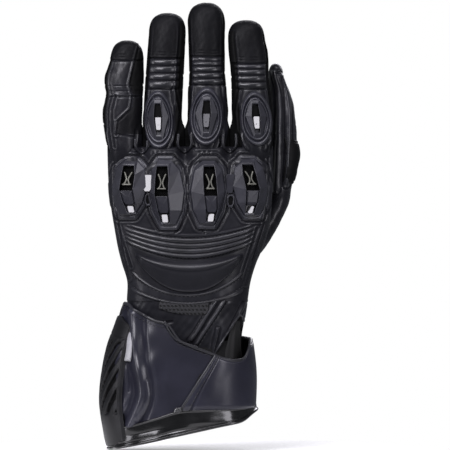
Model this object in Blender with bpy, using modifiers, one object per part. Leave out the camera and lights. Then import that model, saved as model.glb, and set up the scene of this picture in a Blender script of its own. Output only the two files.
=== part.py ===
"""Left-hand racing glove with a gauntlet cuff, standing upright, in metres.

+Z runs towards the fingertips, +X towards the thumb, and the back of the hand faces -Y.
The origin is on the forearm's axis, at the level of the hem's lowest corner.

Leather and fabric walls are open sheets on a tapering tube, thickened inwards with Solidify.
A tube's section is a superellipse between four extents, which change with height.
Hard armour is lofted from rings that stand on the back of a tube.
"""

import math
from collections import namedtuple

import bmesh
import bpy
import numpy as np

for left_over in list(bpy.data.objects):
    bpy.data.objects.remove(left_over)

MM = 0.001
GAP = 0.4 * MM
LEATHER = 2.0 * MM
FABRIC = 1.2 * MM
GAUNTLET_POWER = 2.6
FINGER_POWER = 2.2

# Stations are (height, little-finger side, thumb side, back, palm), in millimetres.
ARM_STATIONS = [
    (60, -37.0, 38.0, -22.5, 22.0),
    (80, -38.0, 39.5, -24.0, 23.0),
    (100, -39.5, 42.5, -25.5, 23.5),
    (115, -39.4, 44.9, -25.0, 22.0),
    (126, -42.8, 48.3, -24.5, 21.5),
    (137, -45.6, 53.7, -23.5, 21.0),
    (148, -47.6, 57.5, -22.8, 20.5),
    (175, -51.6, 59.6, -20.5, 18.0),
    (204, -52.8, 60.0, -17.5, 15.5),
]
CUFF_STATIONS = [
    (0, -51.5, 42.8, -34.0, 35.0),
    (10, -53.0, 43.8, -35.0, 36.0),
    (33, -55.9, 44.6, -35.0, 36.0),
    (57, -53.6, 44.6, -33.5, 34.5),
    (71, -50.5, 44.0, -32.0, 33.0),
    (84, -46.0, 42.5, -30.0, 31.0),
    (96, -42.6, 41.5, -28.5, 29.0),
]
LINING_STATIONS = [
    (8, -49.6, 40.4, -31.4, 32.4),
    (30, -46.0, 40.0, -28.0, 28.0),
    (62, -38.5, 39.5, -24.0, 23.5),
]
THUMB_ROOT_STATIONS = [
    (125, -42.0, 50.5, -27.0, 24.5),
    (137, -45.6, 56.3, -26.0, 24.0),
    (148, -47.0, 62.0, -25.0, 26.0),
    (157, -49.0, 66.3, -24.0, 29.0),
    (168, -50.0, 70.8, -23.5, 32.0),
]
THUMB_STATIONS = [
    (168, 57.0, 70.6, 9.5, 30.5),
    (178, 57.2, 72.8, 9.0, 31.0),
    (190, 58.0, 75.0, 8.5, 32.0),
    (200, 60.7, 77.2, 9.0, 33.0),
    (210, 60.8, 76.3, 9.2, 33.8),
    (224, 60.8, 75.6, 10.2, 34.8),
    (244, 58.6, 71.5, 12.5, 35.5),
    (253, 57.4, 67.6, 13.5, 35.5),
]

# A finger's rows are (height, centre across the hand, half width), in millimetres.
# Its end is a dome below top, its middle joint is at bend, and guard is the armour's centre.
Finger = namedtuple("Finger", "rows top dome bend guard")
FINGERS = {
    "little": Finger(
        [(204, -42.2, 10.6), (214, -42.2, 12.2), (231, -42.0, 13.2), (250, -41.5, 12.8), (264, -39.9, 11.4)],
        278,
        13,
        247.5,
        None,
    ),
    "ring": Finger(
        [(204, -14.8, 11.2), (214, -14.9, 12.4), (230, -14.9, 13.0), (262, -13.4, 12.8), (282, -12.0, 12.6)],
        297,
        15,
        254,
        (-18.0, 223.5, 9.4, 18.5),
    ),
    "middle": Finger(
        [(204, 15.0, 11.3), (214, 15.2, 12.8), (228, 15.4, 13.7), (258, 15.0, 12.2), (289, 14.4, 12.7)],
        304,
        15,
        256,
        (14.4, 226.0, 10.6, 18.8),
    ),
    "index": Finger(
        [(204, 46.7, 12.6), (226, 45.9, 13.9), (252, 44.2, 12.9), (271, 43.0, 13.2), (280, 41.6, 12.5)],
        292,
        14,
        253,
        (49.0, 224.5, 9.6, 17.4),
    ),
}
FINGER_BASE = 204.0
FINGER_HALF_DEPTH = 12.0
PRE_CURVE = 0.0012

# A pod is (centre x, centre z, half width, half height, lean), in millimetres.
PODS = {
    "little": (-37.4, 176.8, 11.2, 19.0, 1.0),
    "ring": (-12.2, 173.4, 12.2, 21.6, -1.0),
    "middle": (15.4, 173.4, 12.0, 21.4, 0.5),
    "index": (44.6, 177.6, 12.0, 19.6, -1.0),
}
POD_OUTLINE = [(0.36, 1), (0.78, 0.76), (1, 0.1), (0.62, -0.74), (0.3, -1)]
POD_SLOT = [(0.26, 0.66), (0.33, 0.4), (0.38, 0), (0.33, -0.5), (0.24, -0.74)]
POD_HEIGHT = 7.5 * MM
POD_WALL = 1.8 * MM
POD_PLATE = [(0.34, -0.06), (0.29, -0.5), (0.2, -0.7)]
POD_SEAT = 3.3 * MM
LINKS = [("outer", -25.0, 185.0, 1.2, 4.5), ("inner", 30.0, 180.0, 1.7, 5.5)]

# Axes along X are (y, z), and the two that stand upright are (x, y).
WRIST_AXIS = (0.0, 128 * MM)
KNUCKLE_AXIS = (5 * MM, 203.5 * MM)
THUMB_AXIS = (23 * MM, 168 * MM)
THUMB_TIP_AXIS = (27.5 * MM, 222 * MM)
FLAP_AXIS = (48 * MM, -1.6 * MM)
STRAP_AXIS = (44 * MM, 7.8 * MM)

# A rim falls away from its joint's axis by these slopes, so that neighbours clear when it bends.
KNUCKLE_SLOPE = math.tan(math.radians(30))
FINGER_SLOPE = math.tan(math.radians(35))
THUMB_SLOPE = math.tan(math.radians(40))
THUMB_TIP_SLOPE = math.tan(math.radians(25))
ACCORDION_SLOPE = 0.75
FLAT_BEHIND_AXIS = 6 * MM
RIM_GAP = 0.6 * MM

HEM_SLOPE = 0.215
HEM_LEVEL = 11.5 * MM
HEM_BAND = 9 * MM
LINING_TOP = 62 * MM

Tube = namedtuple("Tube", "stations power top dome")


def tube(rows, power, top=None, dome=None):
    """A tube from rows in millimetres; above the last dome millimetres its end is rounded."""
    return Tube(MM * np.array(rows), power, top and top * MM, dome and dome * MM)


def finger_tube(finger):
    """A finger's tube, bowed towards the palm by the square of the height above the crotch."""
    rows = []
    for height, centre, half in finger.rows:
        bow = PRE_CURVE * (height - FINGER_BASE) ** 2
        sides = (centre - half, centre + half)
        rows.append((height, *sides, bow - FINGER_HALF_DEPTH, bow + FINGER_HALF_DEPTH))
    return tube(rows, FINGER_POWER, finger.top, finger.dome)


ARM = tube(ARM_STATIONS, GAUNTLET_POWER)
CUFF = tube(CUFF_STATIONS, GAUNTLET_POWER)
LINING = tube(LINING_STATIONS, GAUNTLET_POWER)
THUMB_ROOT = tube(THUMB_ROOT_STATIONS, GAUNTLET_POWER)
THUMB = tube(THUMB_STATIONS, FINGER_POWER, 263, 10)


def section(shape, height, grow=0.0):
    """Centre and half sizes of a tube's section at a height."""
    sides = [np.interp(height, shape.stations[:, 0], shape.stations[:, k]) for k in range(1, 5)]
    left, right, back, palm = sides
    half_x = (right - left) / 2
    half_y = (palm - back) / 2
    if shape.top:
        start = shape.top - shape.dome
        closing = np.sqrt(np.clip(1 - (np.maximum(height - start, 0) / shape.dome) ** 2, 0, 1))
        half_x = half_x * closing
        half_y = half_y * closing
    return (left + right) / 2, (back + palm) / 2, half_x + grow, half_y + grow


def wall_point(shape, angle, height, grow=0.0):
    """The x and y of a tube's wall; the angle runs from the thumb side over the palm."""
    centre_x, centre_y, half_x, half_y = section(shape, height, grow)
    cosine, sine = np.cos(angle), np.sin(angle)
    x = centre_x + half_x * np.sign(cosine) * np.abs(cosine) ** (2 / shape.power)
    y = centre_y + half_y * np.sign(sine) * np.abs(sine) ** (2 / shape.power)
    return x, y


def level(value):
    """A rim at one height."""
    return lambda x, y: value + 0.0 * x


def rim_below(axis, slope, back_slope=0.0):
    """The rim under a joint: it drops towards the palm, and towards the back for an accordion."""
    return lambda x, y: (
        axis[1]
        - RIM_GAP
        - slope * np.maximum(y - axis[0], 0)
        - back_slope * np.maximum(axis[0] - FLAT_BEHIND_AXIS - y, 0)
    )


def rim_above(axis, slope, back_slope=0.0):
    """The rim over a joint, the mirror image of the rim under it."""
    under = rim_below(axis, slope, back_slope)
    return lambda x, y: 2 * axis[1] - under(x, y)


def shifted(rim, offset):
    return lambda x, y: rim(x, y) + offset


def hem(x, y):
    return HEM_LEVEL + HEM_SLOPE * x


def gauntlet_rim(x, y):
    """The cuff's upper edge: high at the little finger, a scoop on the back, level on the palm."""
    back = np.interp(
        x,
        MM * np.array([-45, -39, -30, -20, -5, 4, 17, 27, 37, 45]),
        MM * np.array([94, 94, 92, 87.5, 83, 71.5, 66, 62, 62, 70]),
    )
    palm = 80 * MM - 0.12 * x
    return np.where(y < 0, back, palm)


def wrist_rim(x, y):
    """The sleeve's upper rim, tilted so that the hand bends on the palm's wrist crease."""
    return 119 * MM - 0.52 * y


def hand_rim(x, y):
    return 137 * MM - 0.6 * y


def pad_rim_low(x, y):
    return 107 * MM + 17.2 * (x - 2 * MM) ** 2


def pad_rim_high(x, y):
    return np.minimum(123.8 * MM + 5.7 * (x - 2 * MM) ** 2, 130 * MM)


def band_rim(offset):
    return lambda x, y: 99.5 * MM + offset + 6.8 * (x - 2 * MM) ** 2


def principled(name, colour, roughness, metallic=0.0):
    material = bpy.data.materials.new(name)
    material.use_nodes = True
    shader = material.node_tree.nodes["Principled BSDF"]
    shader.inputs["Base Color"].default_value = (*colour, 1.0)
    shader.inputs["Roughness"].default_value = roughness
    shader.inputs["Metallic"].default_value = metallic
    return material


MATERIALS = {
    "leather": principled("leather", (0.022, 0.021, 0.024), 0.5),
    "stretch_leather": principled("stretch_leather", (0.026, 0.025, 0.028), 0.55),
    "coated_leather": principled("coated_leather", (0.032, 0.030, 0.036), 0.42),
    "fabric": principled("fabric", (0.012, 0.012, 0.013), 0.9),
    "suede": principled("suede", (0.020, 0.019, 0.020), 0.95),
    "armour": principled("armour", (0.035, 0.034, 0.038), 0.4),
    "slider": principled("slider", (0.030, 0.030, 0.034), 0.3),
    "patent": principled("patent", (0.010, 0.010, 0.011), 0.12),
    "gloss_insert": principled("gloss_insert", (0.35, 0.35, 0.37), 0.15),
    "vent_mesh": principled("vent_mesh", (0.008, 0.008, 0.009), 0.6),
    "hook_tape": principled("hook_tape", (0.010, 0.010, 0.011), 0.9),
}

glove = bpy.data.collections.new("riding_glove")
bpy.context.scene.collection.children.link(glove)
pivots = {"cuff": None}


def pivot(name, parent, place):
    """An empty on a joint's axis, which carries the pieces that turn with it."""
    empty = bpy.data.objects.new(f"{name}_pivot", None)
    glove.objects.link(empty)
    empty.parent = pivots[parent]
    above = pivots[parent]["place"] if pivots[parent] else (0.0, 0.0, 0.0)
    empty.location = [a - b for a, b in zip(place, above)]
    empty["place"] = place
    pivots[name] = empty


def add_piece(name, points, faces, body, material):
    """An object with its origin on its body's pivot, from points in the glove's frame."""
    place = np.array(pivots[body]["place"]) if pivots[body] else np.zeros(3)
    mesh = bpy.data.meshes.new(name)
    mesh.from_pydata((points.reshape(-1, 3) - place).tolist(), [], faces)
    piece = bpy.data.objects.new(name, mesh)
    piece.parent = pivots[body]
    mesh.materials.append(MATERIALS[material])
    glove.objects.link(piece)
    return piece


def recalculate_normals(piece):
    shape = bmesh.new()
    shape.from_mesh(piece.data)
    bmesh.ops.recalc_face_normals(shape, faces=shape.faces)
    shape.to_mesh(piece.data)
    shape.free()


def grid_faces(rows, columns, closed):
    """Quads of a grid that climbs by rows, and that joins its last column to its first if closed."""
    faces = []
    for row in range(rows - 1):
        for column in range(columns if closed else columns - 1):
            across = (column + 1) % columns
            start = row * columns
            faces.append((start + column, start + across, start + columns + across, start + columns + column))
    return faces


def wall(name, body, material, shape, span, low, high, rows=4, thickness=LEATHER, grow=0.0, ribs=0):
    """A wall on a tube between two rims. span is (first angle, last angle, columns), in degrees."""
    first, last, columns = span
    closed = last - first == 360
    angle = np.radians(np.linspace(first, last, columns, endpoint=not closed))
    bottom = np.full(columns, low(0.0, 0.0))
    top = np.full(columns, high(0.0, 0.0))
    for _ in range(3):
        bottom = low(*wall_point(shape, angle, bottom, grow))
        top = high(*wall_point(shape, angle, top, grow))
    share = np.linspace(0, 1, rows)[:, None]
    height = bottom + (top - bottom) * share
    swell = ribs * np.sin(np.pi * np.arange(rows) / 2)[:, None] ** 2 if ribs else 0.0
    x, y = wall_point(shape, angle, height, grow + swell)
    points = np.stack([x, y, height], axis=-1)
    piece = add_piece(name, points, grid_faces(rows, columns, closed), body, material)
    solidify(piece, thickness)
    return piece


def solidify(piece, thickness):
    modifier = piece.modifiers.new("wall", "SOLIDIFY")
    modifier.thickness = thickness
    modifier.offset = -1
    piece.data.shade_smooth()


def slanted_wall(name, body, material, shape, edge, last, low, high, thickness, grow):
    """A cuff panel between the flap's diagonal edge and an angle; edge is (angle at hem, at top)."""
    rows, columns = 5, 12
    share = np.linspace(0, 1, rows)[:, None]
    first = edge[0] + (edge[1] - edge[0]) * share
    angle = np.radians(first + (last - first) * np.linspace(0, 1, columns)[None, :])
    height = 40 * MM + 0 * angle
    for _ in range(3):
        x, y = wall_point(shape, angle, height, grow)
        height = low(x, y) + (high(x, y) - low(x, y)) * share
    x, y = wall_point(shape, angle, height, grow)
    faces = grid_faces(rows, columns, False)
    if last < edge[0]:
        faces = [face[::-1] for face in faces]
    piece = add_piece(name, np.stack([x, y, height], axis=-1), faces, body, material)
    solidify(piece, thickness)
    return piece


def finger_cap(name, body, material, shape, low, columns=14):
    """A closed fingertip: straight rows up from its rim, then a dome to a pole."""
    angle = np.radians(np.linspace(0, 360, columns, endpoint=False))
    start = shape.top - shape.dome
    bottom = np.full(columns, low(0.0, 0.0))
    for _ in range(3):
        bottom = low(*wall_point(shape, angle, bottom))
    straight = [bottom + (start - bottom) * share for share in (0, 0.5, 1)]
    domed = [np.full(columns, start + shape.dome * math.sin(turn)) for turn in (0.55, 1.0, 1.35)]
    height = np.stack(straight + domed)
    x, y = wall_point(shape, angle, height)
    points = np.stack([x, y, height], axis=-1).reshape(-1, 3)
    centre_x, centre_y, _, _ = section(shape, shape.top)
    points = np.vstack([points, (centre_x, centre_y, shape.top)])
    rows = len(height)
    faces = grid_faces(rows, columns, True)
    edge = (rows - 1) * columns
    faces += [(edge + k, edge + (k + 1) % columns, rows * columns) for k in range(columns)]
    piece = add_piece(name, points, faces, body, material)
    solidify(piece, LEATHER)
    return piece


def mirrored(half):
    """A closed outline from its thumb-side half, which runs from top to bottom."""
    return np.array(half + [(-x, z) for x, z in reversed(half)])


def standing_ring(outline, centre, size, lean, shape, grow, rise):
    """An outline on a tube's back: scaled to size, leaned sideways by height, and raised."""
    z = centre[1] + outline[:, 1] * size[1]
    x = centre[0] + outline[:, 0] * size[0] + lean * outline[:, 1]
    across = section(shape, z)
    half = across[2] + grow
    over = np.clip(np.abs(x - across[0]) / half, 0, 0.965)
    y = across[1] - (across[3] + grow) * (1 - over**shape.power) ** (1 / shape.power) - rise
    return np.stack([x, y, z], axis=-1)


def ring_loft(name, rings, body, material):
    """A ring-shaped solid: rings joined in turn, and the last to the first."""
    rows, columns = len(rings), len(rings[0])
    points = np.vstack(rings)
    faces = grid_faces(rows, columns, True)
    last = (rows - 1) * columns
    faces += [(last + k, last + (k + 1) % columns, (k + 1) % columns, k) for k in range(columns)]
    piece = add_piece(name, points, faces, body, material)
    recalculate_normals(piece)
    return piece


def plate(name, outline, centre, size, lean, shape, grow, rises, body, material):
    """A solid plate between two heights above a tube's back."""
    rings = [standing_ring(outline, centre, size, lean, shape, grow, rise) for rise in rises]
    columns = len(outline)
    faces = grid_faces(2, columns, True)
    faces += [tuple(range(columns)), tuple(range(2 * columns - 1, columns - 1, -1))]
    piece = add_piece(name, np.vstack(rings), faces, body, material)
    recalculate_normals(piece)
    return piece


def build_cuff():
    """The gauntlet: outer panels, closing flap, hem, side guard, lining and touch tapes."""
    wall("hem_binding", "cuff", "patent", CUFF, (0, 360, 28), hem, shifted(hem, HEM_BAND), 2, 4.2 * MM, GAP)
    above_hem = shifted(hem, HEM_BAND + GAP)
    diagonal = (262, 293)
    lower_diagonal = (268, 299)
    slanted_wall("cuff_back", "cuff", "coated_leather", CUFF, lower_diagonal, 186, above_hem, gauntlet_rim, LEATHER, 0.0)
    gusset_edge = (269, 300)
    slanted_wall("cuff_gusset", "cuff", "fabric", CUFF, gusset_edge, 355, above_hem, gauntlet_rim, LEATHER, 0.0)
    wall("cuff_palm", "cuff", "leather", CUFF, (-4, 185, 20), above_hem, palm_rim, 5)
    flap_low = shifted(hem, HEM_BAND + 2 * GAP)
    slanted_wall("cuff_flap", "cuff_flap", "leather", CUFF, diagonal, 358, flap_low, gauntlet_rim, 1.8 * MM, 4.6 * MM)
    tape = (level(30 * MM), level(52 * MM))
    wall("cuff_loop_patch", "cuff", "hook_tape", CUFF, (303, 326, 5), *tape, 3, 0.7 * MM, 1.1 * MM)
    wall("cuff_hook_patch", "cuff_flap", "hook_tape", CUFF, (303, 326, 5), *tape, 3, 0.7 * MM, 2.2 * MM)
    guard_low = shifted(hem, 1.5 * MM)
    wall("ulnar_guard", "cuff", "armour", CUFF, (150, 226, 12), guard_low, level(91 * MM), 6, 2.4 * MM, 3.3 * MM)
    wall("cuff_lining", "cuff", "fabric", LINING, (0, 360, 24), above_hem, level(LINING_TOP), 4, FABRIC)


def palm_rim(x, y):
    """The cuff's upper edge on the palm side."""
    return 80 * MM - 0.12 * x


def build_wrist():
    """The sleeve between cuff and hand, with its pads, strap and flexing panels."""
    sleeve_low = level(LINING_TOP + GAP)
    wall("wrist_back", "cuff", "leather", ARM, (182, 358, 18), sleeve_low, wrist_rim, 6)
    wall("wrist_palm", "cuff", "leather", ARM, (0, 180, 18), sleeve_low, wrist_rim, 5)
    wall("back_pad", "cuff", "leather", ARM, (222, 318, 12), pad_rim_low, pad_rim_high, 4, 4 * MM, 4.8 * MM)
    band = (band_rim(0.0), band_rim(5 * MM))
    wall("wrist_band", "cuff", "leather", ARM, (214, 326, 12), *band, 2, 1.8 * MM, 2.6 * MM)
    wall("wrist_tongue", "cuff", "fabric", ARM, (305, 336, 5), level(64 * MM), level(88 * MM), 3, 1.4 * MM, 2.8 * MM)
    strap = (level(86 * MM), level(102 * MM))
    wall("wrist_strap", "wrist_strap", "leather", ARM, (15, 165, 15), *strap, 3, LEATHER, 2.8 * MM)
    flex = (shifted(wrist_rim, GAP), shifted(hand_rim, -GAP))
    wall("wrist_accordion", "hand", "stretch_leather", ARM, (220, 318, 12), *flex, 9, 1.6 * MM, 0.0, 1.2 * MM)
    wall("wrist_gather", "hand", "stretch_leather", ARM, (-40, 218, 20), *flex, 4, 1.6 * MM)


def build_hand():
    """The hand's leather panels, and what the palm carries."""
    crotch = rim_below(KNUCKLE_AXIS, KNUCKLE_SLOPE)
    wall("back_panel", "hand", "leather", ARM, (203.5, 318, 16), hand_rim, crotch, 6)
    wall("little_edge_panel", "hand", "leather", ARM, (158, 202, 7), hand_rim, crotch, 5)
    wall("palm_panel", "hand", "leather", ARM, (38, 156.5, 15), hand_rim, crotch, 5)
    wall("index_side_panel", "hand", "leather", ARM, (-40.5, 36.5, 10), level(169.5 * MM), crotch, 4)
    wall("thumb_root", "hand", "leather", THUMB_ROOT, (-33, 64, 12), hand_rim, level(167.2 * MM), 5)
    patch = (level(162 * MM), level(190 * MM))
    wall("palm_patch", "hand", "suede", ARM, (74, 146, 9), *patch, 3, 1.4 * MM, 2.0 * MM)
    oval = np.array([(math.cos(k * math.pi / 6), math.sin(k * math.pi / 6)) for k in range(12)])
    slider = []
    for y, scale in ((22.2 * MM, 1.0), (26.2 * MM, 0.96), (27.4 * MM, 0.82)):
        x = -28 * MM + 14 * MM * scale * oval[:, 0]
        z = 143 * MM + 15 * MM * scale * oval[:, 1]
        slider.append(np.stack([x, np.full(12, y), z], axis=-1))
    faces = grid_faces(3, 12, True) + [tuple(range(12)), tuple(range(35, 23, -1))]
    piece = add_piece("palm_slider", np.vstack(slider), faces, "hand", "slider")
    recalculate_normals(piece)


def build_knuckles():
    """Two moulded bases, and on each a vent mesh under two hollow pods with slider plates."""
    base = (level(153 * MM), level(196.5 * MM))
    wall("knuckle_base_outer", "hand", "armour", ARM, (199, 267.5, 10), *base, 5, 1.4 * MM, 1.9 * MM)
    wall("knuckle_base_inner", "hand", "armour", ARM, (270.5, 336, 10), *base, 5, 1.4 * MM, 1.9 * MM)
    mesh = (level(160 * MM), level(191 * MM))
    wall("knuckle_vent_outer", "hand", "vent_mesh", ARM, (202, 264, 9), *mesh, 4, 0.6 * MM, 2.9 * MM)
    wall("knuckle_vent_inner", "hand", "vent_mesh", ARM, (274, 333, 9), *mesh, 4, 0.6 * MM, 2.9 * MM)
    outline = mirrored(POD_OUTLINE)
    slot = mirrored(POD_SLOT)
    for name, (x, z, half_width, half_height, lean) in PODS.items():
        centre = (x * MM, z * MM)
        size = np.array([half_width, half_height]) * MM
        lean = lean * MM

        def ring(shape, scale, rise):
            return standing_ring(shape, centre, size * scale, lean, ARM, POD_SEAT, rise)

        rings = [
            ring(outline, 1.0, 0.0),
            ring(outline, 0.97, 2.5 * MM),
            ring(outline, 0.78, POD_HEIGHT),
            ring(slot, 1.0, POD_HEIGHT + 0.6 * MM),
            ring(slot, 1.0, POD_HEIGHT - POD_WALL),
            ring(outline, 0.64, POD_HEIGHT - POD_WALL - 0.4 * MM),
            ring(outline, 0.8, 2.4 * MM),
            ring(outline, 0.84, 0.0),
        ]
        ring_loft(f"knuckle_pod_{name}", rings, "hand", "armour")
        lower = mirrored(POD_PLATE)
        top = (POD_HEIGHT - 1.5 * MM, POD_HEIGHT - 0.2 * MM)
        plate(f"knuckle_plate_{name}", lower, centre, size, lean, ARM, POD_SEAT, top, "hand", "slider")


def build_links():
    """The glossy slivers between the two pods of each moulding."""
    link = np.array([(-1, 1), (1, 0.8), (0.7, -1), (-0.8, -1)])
    for name, x, z, half_width, half_height in LINKS:
        size = np.array([half_width, half_height]) * MM
        rises = (GAP, 2.6 * MM)
        plate(f"link_insert_{name}", link, (x * MM, z * MM), size, 0.0, ARM, POD_SEAT, rises, "hand", "gloss_insert")


def build_finger(name, finger):
    """Lower stall, accordion panel and tip stall, with a guard where the finger has one."""
    shape = finger_tube(finger)
    axis = finger_axis(finger)
    lower, upper = f"{name}_lower", f"{name}_upper"
    pivot(lower, "hand", (finger.rows[0][1] * MM, *KNUCKLE_AXIS))
    pivot(upper, lower, (finger.rows[0][1] * MM, *axis))
    bottom = rim_above(KNUCKLE_AXIS, KNUCKLE_SLOPE)
    below = rim_below(axis, FINGER_SLOPE, ACCORDION_SLOPE)
    above = rim_above(axis, FINGER_SLOPE, ACCORDION_SLOPE)
    wall(f"{name}_stall", lower, "leather", shape, (0, 360, 16), bottom, below, 5)
    finger_cap(f"{name}_tip", upper, "leather", shape, above)
    flex = (shifted(below, GAP), shifted(above, -GAP))
    wall(f"{name}_accordion", lower, "stretch_leather", shape, (195, 345, 8), *flex, 7, 1.2 * MM, 0.0, 0.8 * MM)
    if finger.guard:
        x, z, half_width, half_height = finger.guard
        build_guard(name, shape, (x * MM, z * MM), np.array([half_width, half_height]) * MM, lower)


def finger_axis(finger):
    """The middle joint's (y, z): a little to the palm side of the bowed finger's centre line."""
    return (PRE_CURVE * (finger.bend - FINGER_BASE) ** 2 + 5.0) * MM, finger.bend * MM


def build_guard(name, shape, centre, size, body):
    """A padded oval rim and the hard insert that it holds."""
    turn = np.linspace(0, 2 * math.pi, 14, endpoint=False)
    oval = np.stack([np.sin(turn), np.cos(turn)], axis=-1)
    hexagon = mirrored([(0.26, 0.68), (0.55, 0.2), (0.49, -0.2), (0.22, -0.68)])
    seat = 0.5 * MM

    def ring(outline, scale, rise):
        return standing_ring(outline, centre, size * scale, 0.0, shape, seat, rise)

    rings = [
        ring(oval, 1.0, 0.0),
        ring(oval, 0.97, 1.8 * MM),
        ring(oval, 0.82, 3.2 * MM),
        ring(oval, (0.68, 0.78), 2.6 * MM),
        ring(oval, (0.68, 0.78), 0.2 * MM),
    ]
    ring_loft(f"{name}_guard_rim", rings, body, "leather")
    plate(f"{name}_guard_insert", hexagon, centre, size, 0.0, shape, seat, (0.3 * MM, 4.4 * MM), body, "armour")


def build_thumb():
    """The thumb's lower stall, flexing panel, tip stall and padded patch."""
    x = (THUMB.stations[0, 1] + THUMB.stations[0, 2]) / 2
    pivot("thumb_lower", "hand", (x, *THUMB_AXIS))
    pivot("thumb_upper", "thumb_lower", (x, *THUMB_TIP_AXIS))

    def bottom(x, y):
        return 169.0 * MM + THUMB_SLOPE * np.maximum(y - THUMB_AXIS[0], 0)

    below = rim_below(THUMB_TIP_AXIS, THUMB_TIP_SLOPE, ACCORDION_SLOPE / 2)
    above = rim_above(THUMB_TIP_AXIS, THUMB_TIP_SLOPE, ACCORDION_SLOPE / 2)
    wall("thumb_stall", "thumb_lower", "leather", THUMB, (0, 360, 16), bottom, below, 6)
    finger_cap("thumb_tip", "thumb_upper", "leather", THUMB, above)
    flex = (shifted(below, GAP), shifted(above, -GAP))
    wall("thumb_accordion", "thumb_lower", "stretch_leather", THUMB, (215, 325, 6), *flex, 5, 1.2 * MM, 0.0, 0.6 * MM)
    patch = (level(180 * MM), level(212 * MM))
    wall("thumb_patch", "thumb_lower", "suede", THUMB, (290, 372, 8), *patch, 3, 1.2 * MM, 2.4 * MM)


pivot("hand", "cuff", (0.0, *WRIST_AXIS))
pivot("cuff_flap", "cuff", (*FLAP_AXIS, 45 * MM))
pivot("wrist_strap", "cuff", (*STRAP_AXIS, 94 * MM))
build_cuff()
build_wrist()
build_hand()
build_knuckles()
build_links()
for finger_name, finger_shape in FINGERS.items():
    build_finger(finger_name, finger_shape)
build_thumb()
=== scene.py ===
"""Looks of a left-hand racing glove with a gauntlet cuff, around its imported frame.

+Z runs towards the fingertips, +X towards the thumb, and the back of the hand faces -Y.
Shapes are worked out in millimetres, and become metres as each mesh is made.
"""

import math
from collections import namedtuple

import bmesh
import bpy
import numpy as np
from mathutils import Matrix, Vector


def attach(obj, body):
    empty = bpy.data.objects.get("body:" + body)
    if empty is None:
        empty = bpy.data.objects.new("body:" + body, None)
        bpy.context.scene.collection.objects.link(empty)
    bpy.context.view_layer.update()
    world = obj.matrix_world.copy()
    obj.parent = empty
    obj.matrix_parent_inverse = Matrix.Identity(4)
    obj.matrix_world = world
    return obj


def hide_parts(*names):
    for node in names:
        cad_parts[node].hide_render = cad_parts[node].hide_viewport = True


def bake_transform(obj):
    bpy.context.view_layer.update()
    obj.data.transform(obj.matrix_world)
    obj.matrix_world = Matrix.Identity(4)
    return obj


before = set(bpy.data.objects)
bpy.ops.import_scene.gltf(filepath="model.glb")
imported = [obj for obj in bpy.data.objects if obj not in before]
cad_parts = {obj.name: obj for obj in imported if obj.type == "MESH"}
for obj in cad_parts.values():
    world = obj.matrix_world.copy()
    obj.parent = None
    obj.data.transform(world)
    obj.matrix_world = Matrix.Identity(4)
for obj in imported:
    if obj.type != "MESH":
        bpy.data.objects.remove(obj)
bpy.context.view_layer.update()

MM = 0.001
TURN = 2 * math.pi
OUT_OF_BACK = (0.0, -1.0, 0.0)


# ---------------------------------------------------------------- curves and distances


def ease(value, low, high):
    """0 below low, 1 above high, and 3t^2 - 2t^3 between."""
    t = np.clip((value - low) / (high - low), 0, 1)
    return t * t * (3 - 2 * t)


def hump(value, centre, half):
    """Squared cosine: 1 at the centre and 0 from half away."""
    t = np.clip((value - centre) / half, -1, 1)
    return np.cos(t * math.pi / 2) ** 2


def roll(value, centre, half):
    """Half circle: 1 at the centre and 0 from half away, upright at its feet."""
    t = np.clip((value - centre) / half, -1, 1)
    return np.sqrt(1 - t * t)


def smooth(at, knots, values):
    """Cubic through the knots, its slope at each their neighbours' mean, level past the ends."""
    knots, values = np.asarray(knots, float), np.asarray(values, float)
    slopes = np.gradient(values, knots)
    at = np.clip(at, knots[0], knots[-1])
    i = np.clip(np.searchsorted(knots, at, side="right") - 1, 0, len(knots) - 2)
    width = knots[i + 1] - knots[i]
    t = (at - knots[i]) / width
    start = (2 * t**3 - 3 * t**2 + 1) * values[i] + (t**3 - 2 * t**2 + t) * width * slopes[i]
    stop = (3 * t**2 - 2 * t**3) * values[i + 1] + (t**3 - t**2) * width * slopes[i + 1]
    return start + stop


def running(steps):
    """Running total of steps, from 0."""
    return np.concatenate([[0], np.cumsum(steps)])


def lengths_along(path):
    """Length of a path up to each of its points."""
    return running(np.linalg.norm(np.diff(path, axis=0), axis=1))


def xyz(grid):
    """The three coordinates of a grid of points."""
    return np.moveaxis(grid, -1, 0)


def points_of(x, y, z):
    """Points from three coordinates, each stretched over the others."""
    return np.stack(np.broadcast_arrays(x, y, z), axis=-1)


def crossed(columns, rows, low=-1):
    """Even steps from low to 1 across a grid, and up it."""
    return np.linspace(low, 1, columns)[None, :], np.linspace(low, 1, rows)[:, None]


def curve_through(points, step):
    """Points every step along the smooth curve through the given ones."""
    points = np.asarray(points, float)
    lengths = lengths_along(points)
    at = np.linspace(0, lengths[-1], max(3, int(lengths[-1] / step) + 1))
    return np.stack([smooth(at, lengths, points[:, k]) for k in range(points.shape[1])], axis=1)


def away_from(x, z, path, closed=False):
    """Distance in the x-z plane to the nearest segment of a path."""
    path = np.asarray(path, float)
    ends = np.roll(path, -1, axis=0) if closed else path[1:]
    nearest = np.full(np.shape(x), 1e9)
    for (ax, az), (bx, bz) in zip(path, ends):
        dx, dz = bx - ax, bz - az
        t = np.clip(((x - ax) * dx + (z - az) * dz) / (dx * dx + dz * dz), 0, 1)
        nearest = np.minimum(nearest, np.hypot(x - ax - t * dx, z - az - t * dz))
    return nearest


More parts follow.
